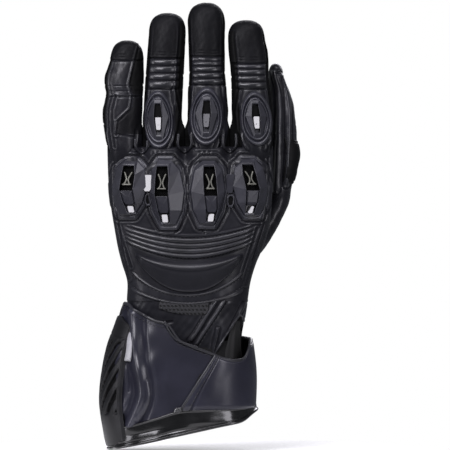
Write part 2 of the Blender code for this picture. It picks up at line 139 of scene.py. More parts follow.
def outside_of(x, z, corners):
    """Distance from a closed outline: negative inside it, by the count of its edges to one side."""
    crossings = np.zeros(np.shape(x), int)
    for (ax, az), (bx, bz) in zip(corners, np.roll(corners, -1, axis=0)):
        spans = (az > z) != (bz > z)
        reach = ax + (z - az) * (bx - ax) / (bz - az if bz != az else 1e-9)
        crossings += spans & (x < reach)
    return away_from(x, z, corners, closed=True) * np.where(crossings % 2 == 1, -1, 1)


def crumple(x, y, z, size, seed, waves=9):
    """Soft creases from -1 to 1: sines of that wavelength in seeded directions, added together."""
    draw = np.random.default_rng(seed)
    total = np.zeros(np.shape(x))
    for _ in range(waves):
        way = draw.normal(size=3)
        way *= TURN / (size * draw.uniform(0.7, 1.6)) / np.linalg.norm(way)
        total = total + np.sin(way[0] * x + way[1] * y + way[2] * z + draw.uniform(0, TURN))
    return total / (0.9 * waves**0.5 * 2**0.5)


# ---------------------------------------------------------------- tubes

# A tube's stations are (height, little-finger side, thumb side, back, palm), its sections are
# superellipses of its power, and over its dome, if it has one, it closes at its top.
Tube = namedtuple("Tube", "stations power top dome", defaults=(None, None))
SLEEVE_POWER = 2.6
FINGER_POWER = 2.2

ARM = Tube(
    [
        (56, -36.5, 37.5, -22.0, 21.5),
        (80, -38.0, 39.5, -24.0, 23.0),
        (100, -39.5, 42.5, -25.5, 23.5),
        (115, -39.4, 44.9, -25.0, 22.0),
        (126, -42.8, 48.3, -24.5, 21.5),
        (137, -45.6, 53.0, -23.5, 21.0),
        (148, -47.6, 56.5, -22.8, 20.5),
        (175, -51.6, 59.4, -20.5, 18.0),
        (190, -52.4, 59.8, -18.4, 16.6),
        (204, -52.8, 60.0, -15.4, 14.6),
    ],
    SLEEVE_POWER,
)
CUFF = Tube(
    [
        (-2, -51.2, 44.6, -33.6, 34.8),
        (10, -53.0, 46.0, -35.0, 36.0),
        (33, -55.9, 47.2, -35.0, 36.0),
        (57, -53.6, 46.8, -33.5, 34.5),
        (71, -50.5, 45.4, -32.0, 33.0),
        (84, -46.0, 43.4, -30.0, 31.0),
        (98, -42.2, 42.0, -28.2, 28.7),
    ],
    SLEEVE_POWER,
)
LINING = Tube(
    [
        (4, -50.2, 40.6, -32.0, 33.0),
        (30, -46.0, 40.0, -28.0, 28.0),
        (62, -38.0, 39.0, -23.5, 23.0),
        (78, -36.0, 37.6, -22.0, 21.0),
    ],
    SLEEVE_POWER,
)
THUMB = Tube(
    [
        (116, 18.0, 38.0, -5.0, 15.0),
        (126, 24.0, 45.6, -4.0, 19.0),
        (137, 32.0, 54.6, 0.0, 24.0),
        (148, 42.0, 61.6, 4.5, 26.5),
        (157, 49.5, 66.4, 7.0, 29.0),
        (168, 56.0, 70.9, 9.2, 30.8),
        (178, 57.2, 72.9, 9.0, 31.2),
        (190, 58.0, 75.1, 8.5, 32.0),
        (200, 57.6, 77.0, 9.0, 33.0),
        (210, 57.2, 76.3, 9.2, 33.8),
        (224, 57.2, 75.6, 10.2, 34.8),
        (244, 56.6, 71.5, 12.5, 35.5),
        (253, 56.4, 67.6, 13.5, 35.5),
    ],
    FINGER_POWER,
    top=263,
    dome=13,
)

# Where the crotches are across the hand: little to ring, ring to middle, middle to index.
CROTCHES = OUTER_GAP, MIDDLE_GAP, INNER_GAP = (-28.7, 0.0, 30.4)

# A finger's rows are (height, centre across the hand, half width). Its middle joint is at bend,
# its cap is sewn on at seam, its ribs lie between grooves, and guard is its armour's
# (centre across, centre height, half width, half height, lean). gaps are the crotches beside it.
Finger = namedtuple("Finger", "rows top dome bend seam grooves guard gaps")
FINGERS = {
    "little": Finger(
        rows=[
            (188, -42.2, 8.6), (204, -42.0, 10.6), (214, -42.3, 12.2), (224, -42.6, 13.3),
            (232, -42.4, 13.4), (241, -41.2, 12.6), (248, -41.6, 13.4), (255, -41.2, 13.2),
            (261, -40.1, 11.9), (268, -39.3, 11.0),
        ],
        top=278,
        dome=13,
        bend=247.5,
        seam=264.0,
        grooves=(239.5, 243.0, 246.5, 250.0),
        guard=None,
        gaps=(None, OUTER_GAP),
    ),
    "ring": Finger(
        rows=[
            (188, -14.8, 9.4), (204, -14.8, 11.2), (214, -14.9, 12.4), (230, -14.9, 13.0),
            (262, -13.4, 12.8), (282, -12.0, 12.6),
        ],
        top=297,
        dome=15,
        bend=254,
        seam=265.4,
        grooves=(244.4, 249.9, 254.8, 260.0, 264.6),
        guard=(-18.1, 223.4, 10.7, 20.4, -0.6),
        gaps=(OUTER_GAP, MIDDLE_GAP),
    ),
    "middle": Finger(
        rows=[
            (188, 15.0, 9.6), (204, 15.0, 11.3), (214, 15.2, 12.8), (228, 15.4, 13.7),
            (258, 15.0, 12.2), (289, 14.4, 12.7),
        ],
        top=304,
        dome=15,
        bend=256,
        seam=266.6,
        grooves=(247.2, 251.2, 255.4, 259.6, 262.9),
        guard=(14.6, 225.6, 11.6, 20.4, 0.3),
        gaps=(MIDDLE_GAP, INNER_GAP),
    ),
    "index": Finger(
        rows=[
            (188, 46.7, 10.6), (204, 46.7, 12.6), (226, 45.9, 13.9), (252, 44.2, 12.9),
            (271, 43.0, 13.2), (280, 41.6, 12.5),
        ],
        top=292,
        dome=14,
        bend=253,
        seam=262.0,
        grooves=(244.4, 248.9, 253.3, 257.6, 261.0),
        guard=(48.4, 224.0, 11.0, 19.0, -1.2),
        gaps=(INNER_GAP, None),
    ),
}
FINGER_FOOT = 188
FINGER_BASE = 204.0
PRE_CURVE = 0.0012
DOME_POWER = 2.45
FINGER_BACK = ([FINGER_FOOT, 204, 216, 232, 248], [9.8, 14.4, 13.4, 12.5, 12.0])
FINGER_PALM = ([FINGER_FOOT, 204, 216, 232, 248], [11.8, 13.6, 12.9, 12.3, 12.0])


def bow(z):
    """How far a finger leans towards the palm: by the square of its height above the crotch."""
    return PRE_CURVE * (z - FINGER_BASE) ** 2 * (z > FINGER_BASE)


def finger_tube(finger):
    """A finger's tube: its rows, thickened towards the crotch and bowed towards the palm."""
    knots = np.arange(FINGER_FOOT, finger.top, 6.0)
    rows = np.array(finger.rows, float)
    centre = smooth(knots, rows[:, 0], rows[:, 1])
    half = smooth(knots, rows[:, 0], rows[:, 2])
    back = bow(knots) - smooth(knots, *FINGER_BACK)
    palm = bow(knots) + smooth(knots, *FINGER_PALM)
    stations = np.stack([knots, centre - half, centre + half, back, palm], axis=1)
    return Tube(stations, FINGER_POWER, finger.top, finger.dome)


TUBES = {name: finger_tube(finger) for name, finger in FINGERS.items()}


def section(shape, z):
    """A tube's centre x, centre y, half width and half depth, which shrink to 0 over its dome."""
    height, *sides = np.transpose(shape.stations)
    left, right, back, palm = (smooth(z, height, side) for side in sides)
    closing = 1.0
    if shape.top:
        rise = np.clip((z - shape.top + shape.dome) / shape.dome, 0, 1)
        closing = (1 - rise**DOME_POWER) ** (1 / DOME_POWER)
    half_x, half_y = closing * (right - left) / 2, closing * (palm - back) / 2
    return (left + right) / 2, (back + palm) / 2, half_x, half_y


def wall(shape, angle, z, grow=0.0):
    """x and y of a tube's wall, a superellipse; angles run from the thumb side over the palm."""
    centre_x, centre_y, half_x, half_y = section(shape, z)
    cosine, sine = np.cos(angle), np.sin(angle)
    x = centre_x + (half_x + grow) * np.sign(cosine) * np.abs(cosine) ** (2 / shape.power)
    y = centre_y + (half_y + grow) * np.sign(sine) * np.abs(sine) ** (2 / shape.power)
    return x, y


def back_of(shape, x, z):
    """y of a tube's back at a place across it."""
    centre_x, centre_y, half_x, half_y = section(shape, z)
    u = np.clip(np.abs(x - centre_x) / np.maximum(half_x, 1e-6), 0, 0.995)
    return centre_y - half_y * (1 - u**shape.power) ** (1 / shape.power)


def pinch(x, z):
    """How much of its depth the hand keeps: it narrows between the fingers' roots."""
    valleys = sum(np.exp(-(((x - at) / 4.4) ** 2)) for at in CROTCHES)
    return 1 - 0.46 * ease(z, 184, 204) * np.minimum(valleys, 1)


def hand_back(x, z):
    """y of the back of the hand, between the fingers' roots too."""
    centre = section(ARM, z)[1]
    return centre + (back_of(ARM, x, z) - centre) * pinch(x, z)


def even_angles(shape, z, start, stop, count):
    """Angles, in degrees given, that step evenly along a tube's wall at one height."""
    fine = np.radians(np.linspace(start, stop, 4000))
    x, y = wall(shape, fine, z)
    lengths = running(np.hypot(np.diff(x), np.diff(y)))
    return np.interp(np.linspace(0, lengths[-1], count), lengths, fine)


SETTLING_ROUNDS = 14  # halvings of the distance to a rim that depends on where it is


def between(shape, angles, low, high, rows, grow=0.0):
    """Grid on a tube from one rim to another; a rim is a height, or a function of x and y."""
    edges = []
    for rim in (low, high):
        z = np.full(len(angles), 100.0 if callable(rim) else float(rim))
        for _ in range(SETTLING_ROUNDS if callable(rim) else 0):
            z = 0.5 * z + 0.5 * rim(*wall(shape, angles, z, grow))
        edges.append(z)
    t = np.linspace(0, 1, rows)[:, None]
    z = edges[0] + (edges[1] - edges[0]) * t
    x, y = wall(shape, angles[None, :] + 0 * t, z, grow)
    return np.stack([x, y, z], axis=-1)


def domed_rows(low, shape, step):
    """Heights from low to a tube's pole, closer together over its dome."""
    start = shape.top - shape.dome
    straight = np.linspace(low, start, int((start - low) / step) + 1)[:-1]
    lift = np.radians(np.linspace(0, 90, int(1.57 * shape.dome / step)))
    return np.concatenate([straight, start + shape.dome * np.sin(lift)])


def normals_of(points, wrap=False):
    """Unit normals of a grid, across its columns' way and then up its rows'."""
    if wrap:
        ring = np.concatenate([points[:, -1:], points, points[:, :1]], axis=1)
        across = ring[:, 2:] - ring[:, :-2]
    else:
        across = np.gradient(points, axis=1)
    normal = np.cross(across, np.gradient(points, axis=0))
    return normal / np.maximum(np.linalg.norm(normal, axis=-1, keepdims=True), 1e-9)


def lifted(points, relief, wrap=False):
    """A grid moved outwards along its own normals."""
    return points + normals_of(points, wrap) * relief[..., None]


FULL_CREASE = 0.22  # relief that counts as a full seam or welt
# Painted highlight that every swept welt carries for the leather finishes.
WELT_HIGHLIGHT = 0.8


# Its result goes on pieces as a point attribute, which the leather finishes turn into painted shade
# in seams and a painted highlight on welts.
def creases(relief, wrap=False, reach=3):
    """Relief above or below its mean over a small window: -1 in a seam, 1 on a welt."""
    padded = np.pad(relief, [(reach, reach), (0, 0)], mode="edge")
    padded = np.pad(padded, [(0, 0), (reach, reach)], mode="wrap" if wrap else "edge")
    size = 2 * reach + 1
    total = np.cumsum(np.cumsum(np.pad(padded, ((1, 0), (1, 0))), axis=0), axis=1)
    mean = total[size:, size:] - total[:-size, size:] - total[size:, :-size] + total[:-size, :-size]
    return np.clip((relief - mean / size**2) / FULL_CREASE, -1, 1)


def bordered(u, t, power_u, power_t):
    """1 over a patch and 0 at its edges: a square root of superellipses across it and up it."""
    across, up = np.clip(1 - np.abs(u) ** power_u, 0, 1), np.clip(1 - np.abs(t) ** power_t, 0, 1)
    return (across * up) ** 0.5


def seam(away, middle, half, beside, at, beside_half=1.0):
    """Relief along a line: a groove or a welt on it, and one beside it, at a distance."""
    return middle * hump(away, 0, half) + beside * hump(away, at, beside_half)


# ---------------------------------------------------------------- meshes


def mesh_of(name, points, faces, finishes, uv=None, kinds=None, flat=False):
    """One object from points in millimetres and faces that all have four sides."""
    mesh = bpy.data.meshes.new(name)
    mesh.vertices.add(len(points))
    mesh.vertices.foreach_set("co", (points * MM).astype(np.float32).ravel())
    mesh.loops.add(faces.size)
    mesh.loops.foreach_set("vertex_index", faces.ravel().astype(np.int32))
    mesh.polygons.add(len(faces))
    mesh.polygons.foreach_set("loop_start", np.arange(0, faces.size, 4, dtype=np.int32))
    mesh.polygons.foreach_set("use_smooth", np.full(len(faces), not flat))
    for finish in finishes if isinstance(finishes, (list, tuple)) else [finishes]:
        mesh.materials.append(finish)
    if kinds is not None:
        mesh.polygons.foreach_set("material_index", kinds.ravel().astype(np.int32))
    if uv is not None:
        layer = mesh.uv_layers.new(name="cut")
        layer.data.foreach_set("uv", (uv * MM).astype(np.float32).ravel())
    mesh.update(calc_edges=True)
    obj = bpy.data.objects.new(name, mesh)
    bpy.context.scene.collection.objects.link(obj)
    return obj


def grid_faces(rows, columns, wrap=False):
    """Four corners for each cell of a grid, turned so that tubes face outwards."""
    index = np.arange(rows * columns).reshape(rows, columns)
    if wrap:
        index = np.concatenate([index, index[:, :1]], axis=1)
    cells = [index[:-1, :-1], index[:-1, 1:], index[1:, 1:], index[1:, :-1]]
    return np.stack(cells, axis=-1).reshape(-1, 4)


def sheet_of(name, points, finishes, wrap=False, kinds=None, flat=False, tone=None):
    """A grid as one surface, its UV map in metres along its columns and rows."""
    rows, columns = points.shape[:2]
    faces = grid_faces(rows, columns, wrap)
    ring = np.concatenate([points, points[:, :1]], axis=1) if wrap else points
    along = np.linalg.norm(np.diff(ring, axis=1), axis=-1).mean(axis=0)
    up = np.linalg.norm(np.diff(points, axis=0), axis=-1).mean(axis=1)
    u, v = running(along), running(up)
    corner_u = np.stack([u[:-1], u[1:], u[1:], u[:-1]], axis=-1)[None]
    corner_v = np.stack([v[:-1], v[:-1], v[1:], v[1:]], axis=-1)[:, None]
    uv = np.stack(np.broadcast_arrays(corner_u, corner_v), axis=-1).reshape(-1, 2)
    obj = mesh_of(name, points.reshape(-1, 3), faces, finishes, uv, kinds, flat)
    # tone is stored for the leather finishes: painted shade where it is negative, painted highlight
    # where it is positive.
    if tone is not None:
        layer = obj.data.attributes.new("crease_shade", "FLOAT", "POINT")
        layer.data.foreach_set("value", tone.astype(np.float32).ravel())
    return obj


def skin_of(name, grid, relief, finishes, wrap=False, kinds=None):
    """A grid lifted by its relief, with its creases stored as painted shade and highlight."""
    tone = creases(relief, wrap)
    return sheet_of(name, lifted(grid, relief, wrap), finishes, wrap, kinds, tone=tone)


def closed(obj, merge=0.004 * MM):
    """Poles and seams merged, and normals turned outwards."""
    shape = bmesh.new()
    shape.from_mesh(obj.data)
    bmesh.ops.remove_doubles(shape, verts=shape.verts, dist=merge)
    bmesh.ops.dissolve_degenerate(shape, edges=shape.edges, dist=merge / 4)
    bmesh.ops.recalc_face_normals(shape, faces=shape.faces)
    shape.to_mesh(obj.data)
    shape.free()
    return obj


def joined(name, parts):
    """Several new pieces made one."""
    whole = parts[0]
    with bpy.context.temp_override(
        object=whole, active_object=whole, selected_objects=parts, selected_editable_objects=parts
    ):
        bpy.ops.object.join()
    whole.name = whole.data.name = name
    return whole


def modified(obj, kind, **settings):
    """A modifier that stays on the piece."""
    modifier = obj.modifiers.new(kind.title(), kind)
    for key, value in settings.items():
        setattr(modifier, key, value)
    return obj


def walled(obj, thickness):
    """Leather's or fabric's thickness, on the inside."""
    return modified(obj, "SOLIDIFY", thickness=thickness * MM, offset=-1.0, use_even_offset=False)


def rounded(obj, width):
    """A moulded piece's edges, where they turn sharply."""
    sharp = math.radians(20)
    return modified(
        obj, "BEVEL", width=width * MM, segments=2, limit_method="ANGLE", angle_limit=sharp
    )


def framed(way, facing):
    """Unit vectors square to each way: one as near to facing as can be, and one beside it."""
    facing = np.broadcast_to(np.asarray(facing, float), way.shape)
    out = facing - np.sum(facing * way, axis=1, keepdims=True) * way
    out /= np.linalg.norm(out, axis=1, keepdims=True)
    return out, np.cross(way, out)


def sweep(name, path, radius, finish, facing=OUT_OF_BACK, sides=10, squash=1.0, ring=False):
    """A round welt: a circle of that radius carried along a path, squashed towards facing."""
    path = np.asarray(path, float)
    radius = np.broadcast_to(radius, len(path))
    tangent = np.gradient(path, axis=0)
    if ring:
        tangent = np.roll(path, -1, axis=0) - np.roll(path, 1, axis=0)
    tangent /= np.linalg.norm(tangent, axis=1, keepdims=True)
    out, side = framed(tangent, facing)
    turn = np.linspace(0, TURN, sides, endpoint=False)[None, :, None]
    circle = np.cos(turn) * out[:, None] * squash + np.sin(turn) * side[:, None]
    points = path[:, None] + circle * radius[:, None, None]
    if ring:
        points = np.concatenate([points, points[:1]])
    else:
        first, last = path[:1, None] + 0 * points[:1], path[-1:, None] + 0 * points[:1]
        points = np.concatenate([first, points, last])
    # Every welt carries the same painted highlight.
    return closed(sheet_of(name, points, finish, wrap=True, tone=0 * points[..., 0] + WELT_HIGHLIGHT))


LOOK_AHEAD = 0.3  # how far to either side of a stitch its direction is measured
STITCH_RINGS, STITCH_SIDES = (0, 40, 90, 140, 180), 6
FINE = {"pitch": 2.8, "length": 1.9, "radius": 0.26}
FINEST = {"pitch": 2.6, "length": 1.7, "radius": 0.24}


def stitches(name, path, facing=OUT_OF_BACK, pitch=3.0, length=2.0, radius=0.34, off=0.12):
    """A row of sewn stitches: small ellipsoids lying along a path at an even pitch."""
    path = np.asarray(path, float)
    lengths = lengths_along(path)

    def along_path(values, at):
        return np.stack([np.interp(at, lengths, values[:, k]) for k in range(3)], axis=1)

    at = np.arange(pitch / 2, lengths[-1], pitch)
    centre = along_path(path, at)
    way = along_path(path, at + LOOK_AHEAD) - along_path(path, at - LOOK_AHEAD)
    way /= np.linalg.norm(way, axis=1, keepdims=True)
    facing = np.asarray(facing, float)
    if facing.ndim == 2:
        facing = along_path(facing, at)
    out, side = framed(way, facing)
    polar = np.radians(STITCH_RINGS)[None, :, None, None]
    turn = np.linspace(0, TURN, STITCH_SIDES, endpoint=False)[None, None, :, None]
    along = -np.cos(polar) * way[:, None, None] * length / 2
    around = np.cos(turn) * out[:, None, None] + np.sin(turn) * side[:, None, None]
    around = np.sin(polar) * around * radius
    points = (centre + off * out)[:, None, None] + along + around
    faces = grid_faces(len(STITCH_RINGS), STITCH_SIDES, wrap=True)
    first = np.arange(len(at)) * len(STITCH_RINGS) * STITCH_SIDES
    faces = (faces[None] + first[:, None, None]).reshape(-1, 4)
    return closed(mesh_of(name, points.reshape(-1, 3), faces, THREAD), 0.02 * MM)


def settled(obj, body, slot, *nodes):
    """Attaches a piece to its body and hides the CAD nodes it stands for; the finish slot is not
    used.
    """
    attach(obj, body)
    labelled(nodes)


def bending(obj, bodies, zone, slot, *nodes):
    """For leather that crosses a joint: its transform baked and its CAD nodes hidden, attached to
    no body. The zone, in millimetres, and the finish slot are not used.
    """
    start, end = (tuple(MM * v for v in place) for place in zone)
    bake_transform(obj)
    labelled(nodes)


def labelled(nodes):
    """Hides the CAD nodes that a piece stands for."""
    if nodes:
        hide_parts(*nodes)


def upright(low, high):
    """A zone across a finger or a thumb, between two heights."""
    return (0, 0, low), (0, 0, high)


# ---------------------------------------------------------------- finishes


class Value:
    """A socket inside a finish; arithmetic on it adds Math nodes."""

    def __init__(self, finish, socket):
        self.finish, self.socket = finish, socket

    def __add__(self, other):
        return self.finish.maths("ADD", self, other)

    def __radd__(self, other):
        return self.finish.maths("ADD", other, self)

    def __sub__(self, other):
        return self.finish.maths("SUBTRACT", self, other)

    def __rsub__(self, other):
        return self.finish.maths("SUBTRACT", other, self)

    def __mul__(self, other):
        return self.finish.maths("MULTIPLY", self, other)

    def __rmul__(self, other):
        return self.finish.maths("MULTIPLY", other, self)

    def __pow__(self, other):
        return self.finish.maths("POWER", self, other)


class Finish:
    """A procedural material: constants sit on the shader's sockets, and its pattern is linked."""

    def __init__(self, name, **constants):
        self.material = bpy.data.materials.new(name)
        self.material.use_nodes = True
        self.tree = self.material.node_tree
        self.shader = self.tree.nodes["Principled BSDF"]
        for socket, value in constants.items():
            self.shader.inputs[socket.replace("_", " ")].default_value = value

    def node(self, kind, settings=None, inputs=None, output=0):
        """One node: its settings first, then its sockets' values or links."""
        node = self.tree.nodes.new(kind)
        for key, value in (settings or {}).items():
            setattr(node, key, value)
        for key, value in (inputs or {}).items():
            if isinstance(value, Value):
                self.tree.links.new(value.socket, node.inputs[key])
            else:
                node.inputs[key].default_value = value
        return Value(self, node.outputs[output])

    def maths(self, operation, *values):
        return self.node("ShaderNodeMath", {"operation": operation}, dict(enumerate(values)))

    def place(self, output="Object"):
        return self.node("ShaderNodeTexCoord", output=output)

    def split(self, at):
        """The x, y and z of a vector."""
        node = self.node("ShaderNodeSeparateXYZ", None, {0: at}).socket.node
        return [Value(self, output) for output in node.outputs]

    def noise(self, scale, detail):
        place = {"Vector": self.place(), "Scale": scale, "Detail": detail}
        return self.node("ShaderNodeTexNoise", None, place)

    def pebbles(self, size):
        """Height of grain of that size in metres: flat pebbles with creases between them."""
        edge = self.node(
            "ShaderNodeTexVoronoi",
            {"feature": "DISTANCE_TO_EDGE"},
            {"Vector": self.place(), "Scale": 1 / size, "Randomness": 0.9},
        )
        return self.between(edge, 0.0, 0.32)

    def between(self, value, low, high):
        """0 below low, 1 above high, and a smooth step between."""
        return self.node(
            "ShaderNodeMapRange",
            {"interpolation_type": "SMOOTHSTEP"},
            {"Value": value, "From Min": low, "From Max": high},
        )

    def mixed(self, factor, low, high):
        """A colour between two others."""
        ends = {0: factor, 6: low, 7: high}
        return self.node("ShaderNodeMix", {"data_type": "RGBA"}, ends, output=2)

    def finished(self, colour, roughness, height, depth, **more):
        """Links the pattern; height times depth, in metres, is the bump."""
        bump = {"Height": height, "Distance": depth, "Strength": 1.0}
        links = {"Base Color": colour, "Roughness": roughness, **more}
        links["Normal"] = self.node("ShaderNodeBump", None, bump)
        for socket, value in links.items():
            if isinstance(value, Value):
                self.tree.links.new(value.socket, self.shader.inputs[socket])
            else:
                self.shader.inputs[socket].default_value = value
        return self.material


def grey(level, blue=1.0):
    """A colour from a linear grey, a little cooler with blue above 1."""
    return (level, level, level * blue, 1.0)


def hide(
    name, level, light, roughness, gloss, grain=0.0011, depth=0.00007, blue=1.08, **constants
):
    """Leather: pebbles, pores and worn clouds; painted shade makes it darker and duller in seams,
    and a painted highlight makes it paler and glossier on welts.
    """
    made = Finish(name, Specular_IOR_Level=0.08, Coat_Roughness=roughness - 0.03, **constants)
    crease_shade = made.node("ShaderNodeAttribute", {"attribute_name": "crease_shade"}, output=2)
    # The crease attribute, from -1 in a seam to 1 on a welt, becomes painted shade in seams and a
    # painted highlight on welts.
    painted_shade_and_highlight = made.between(crease_shade, -0.5, 0.62)
    clouds = made.noise(38.0, 4.0)
    worn = made.between(clouds, 0.42, 0.68)
    pebbles = made.pebbles(grain)
    pores = made.noise(3200.0, 2.0)
    height = pebbles * 0.7 + pores * 0.35 + clouds * 0.8
    # Colour: random wear and grain, scaled down by the painted shade in seams and up by the painted
    # highlight on welts.
    tone = (worn * 0.6 + pebbles * 0.2) * (0.3 + painted_shade_and_highlight)
    colour = made.mixed(tone, grey(level, blue), grey(light, blue))
    # Coat weight carries the same painted shade and highlight: little coat in seams, full coat on
    # welts.
    coat = (0.06 + painted_shade_and_highlight * 0.94) * gloss
    rough = roughness + 0.1 - 0.06 * pebbles + 0.1 * clouds
    return made.finished(colour, rough, height, depth, **{"Coat Weight": coat})


def moulded(name, level, light, roughness, specular, depth=0.00003, blue=1.06, **constants):
    """Moulded plastic: a spark-eroded texture, with paler rubbed patches."""
    made = Finish(name, Specular_IOR_Level=specular, **constants)
    spark = made.noise(2600.0, 3.0)
    rubbed = made.between(made.noise(70.0, 3.0), 0.45, 0.7)
    colour = made.mixed(rubbed, grey(level, blue), grey(light, blue))
    return made.finished(colour, roughness + 0.12 * spark + 0.05 * rubbed, spark, depth)


def woven(name, level, light, roughness, thread=0.0006, depth=0.00012, **constants):
    """Plain weave on the piece's own cut: each thread passes over its neighbours in turn."""
    made = Finish(name, Specular_IOR_Level=0.2, **constants)
    across, along, _ = made.split(made.place("UV"))
    over = made.maths("SINE", across * (math.pi / thread))
    over = over * made.maths("SINE", along * (math.pi / thread)) * 0.5 + 0.5
    fluff = made.noise(1800.0, 3.0)
    colour = made.mixed(over * 0.7 + fluff * 0.3, grey(level), grey(light))
    return made.finished(colour, roughness - 0.1 * over, over * 0.8 + fluff * 0.4, depth)


def perforated(name, light, roughness, pitch=0.0026, hole=0.3):
    """Leather with rows of round holes, staggered, seen from the back of the hand."""
    made = Finish(name, Specular_IOR_Level=0.3)
    across, _, up = made.split(made.place())
    slant = 0.5
    cells = []
    for part in (across * (1 / pitch) + up * (slant / pitch), up * (1 / pitch)):
        cell = made.maths("FRACT", part) - 0.5
        cells.append(cell * cell)
    middle = made.maths("SQRT", cells[0] + cells[1])
    solid = made.between(middle, hole - 0.1, hole + 0.06)
    pebbles = made.pebbles(0.0008)
    # The holes are painted near-black: painted shade in them, over the black leather beneath.
    colour = made.mixed(solid, grey(0.001), grey(light, 1.1))
    return made.finished(colour, roughness, solid + pebbles * 0.15, 0.00035)


# Leathers are (name, level, worn level, roughness, gloss); grain and depth are in metres.
LEATHER = hide("black_leather", 0.0085, 0.016, 0.34, 0.66, blue=1.3)
SUPPLE = hide("supple_leather", 0.0095, 0.018, 0.36, 0.85, grain=0.0008, blue=1.3)
CAP_LEATHER = hide("fingertip_leather", 0.0030, 0.006, 0.42, 0.14, grain=0.0009, blue=1.3)
# Dark fourchette leather; also painted shade in the wrist's opening.
SIDE_LEATHER_AND_SHADE = hide("fourchette_and_shade_leather", 0.0014, 0.003, 0.60, 0.12, grain=0.0007)
RIBBED = hide("stretch_leather", 0.0080, 0.018, 0.32, 1.0, grain=0.0007, depth=0.00005, blue=1.3)
COATED = hide("coated_leather", 0.0135, 0.022, 0.30, 0.85, grain=0.0006, depth=0.00003, blue=1.55)
GUARD_PAD = hide("guard_leather", 0.024, 0.044, 0.34, 1.0, grain=0.0007, depth=0.00004, blue=1.3)
DARK_PAD = hide("thumb_pad_leather", 0.0030, 0.005, 0.52, 0.3, grain=0.0009)
PALM_LEATHER = hide("palm_leather", 0.008, 0.016, 0.50, 0.6, grain=0.0010, blue=1.2)
SUEDE = hide(
    "suede", 0.012, 0.026, 0.85, 0.0, grain=0.0004, depth=0.00016,
    Sheen_Weight=0.25, Sheen_Roughness=0.5,
)
# Plastics are (name, level, rubbed level, roughness, specular).
ARMOUR = moulded("moulded_armour", 0.022, 0.032, 0.30, 0.52, blue=1.3)
ULNAR = moulded("wrist_armour", 0.0045, 0.009, 0.34, 0.3, blue=1.2)
PLATE = moulded("plate_plastic", 0.021, 0.028, 0.3, 0.34, blue=1.3)
HARD = moulded("slider_plastic", 0.008, 0.018, 0.3, 0.5, depth=0.00002)
GLOSS = moulded(
    "gloss_insert", 0.012, 0.02, 0.10, 0.5, depth=0.000004, Coat_Weight=0.75, Coat_Roughness=0.12
)
PATENT = moulded(
    "patent_band", 0.003, 0.006, 0.14, 0.25, depth=0.00001, Coat_Weight=0.7, Coat_Roughness=0.12
)
# Pale grey standing in for the glossy strip's highlight: a painted highlight on a real glossy
# strip.
STRIP_HIGHLIGHT = moulded("strip_painted_highlight", 0.30, 0.36, 0.2, 0.5, depth=0.000004, blue=1.05)
STRUT = moulded("strut_metal", 0.16, 0.26, 0.42, 0.5, blue=0.85, Metallic=0.4)
# Near-black: the vent mesh's own colour, and painted shade on the floors of openings and in the
# ulnar guard's grooves.
MESH_AND_PIT_SHADE = moulded("vent_mesh", 0.0012, 0.0025, 0.6, 0.1)
THREAD = moulded("thread", 0.02, 0.045, 0.5, 0.3, depth=0.00004)
LINING_CLOTH = woven("lining_cloth", 0.004, 0.012, 0.85)
TONGUE_CLOTH = woven("tongue_cloth", 0.010, 0.022, 0.75, thread=0.0008)
HOOKS = woven("hook_tape", 0.004, 0.016, 0.8, thread=0.0011, depth=0.0005)
PERFORATED = perforated("perforated_leather", 0.022, 0.5)
FLOOR = moulded(
    "studio_floor", 0.86, 0.88, 0.7, 0.1, blue=1.0,
    Emission_Color=grey(1.0), Emission_Strength=0.3,
)


# ---------------------------------------------------------------- studio

EYE_X, EYE_Z = 27.2, 152.3
FRAME_WIDTH = 306.0
EYE_DISTANCE = 3200.0
SENSOR = 36.0
FLOOR_RINGS = (0.0, 80.0, 170.0)
FLOOR_DROP = 1.2
ROOM_LIGHT = 0.16
COOL = (0.95, 0.93, 1.0)


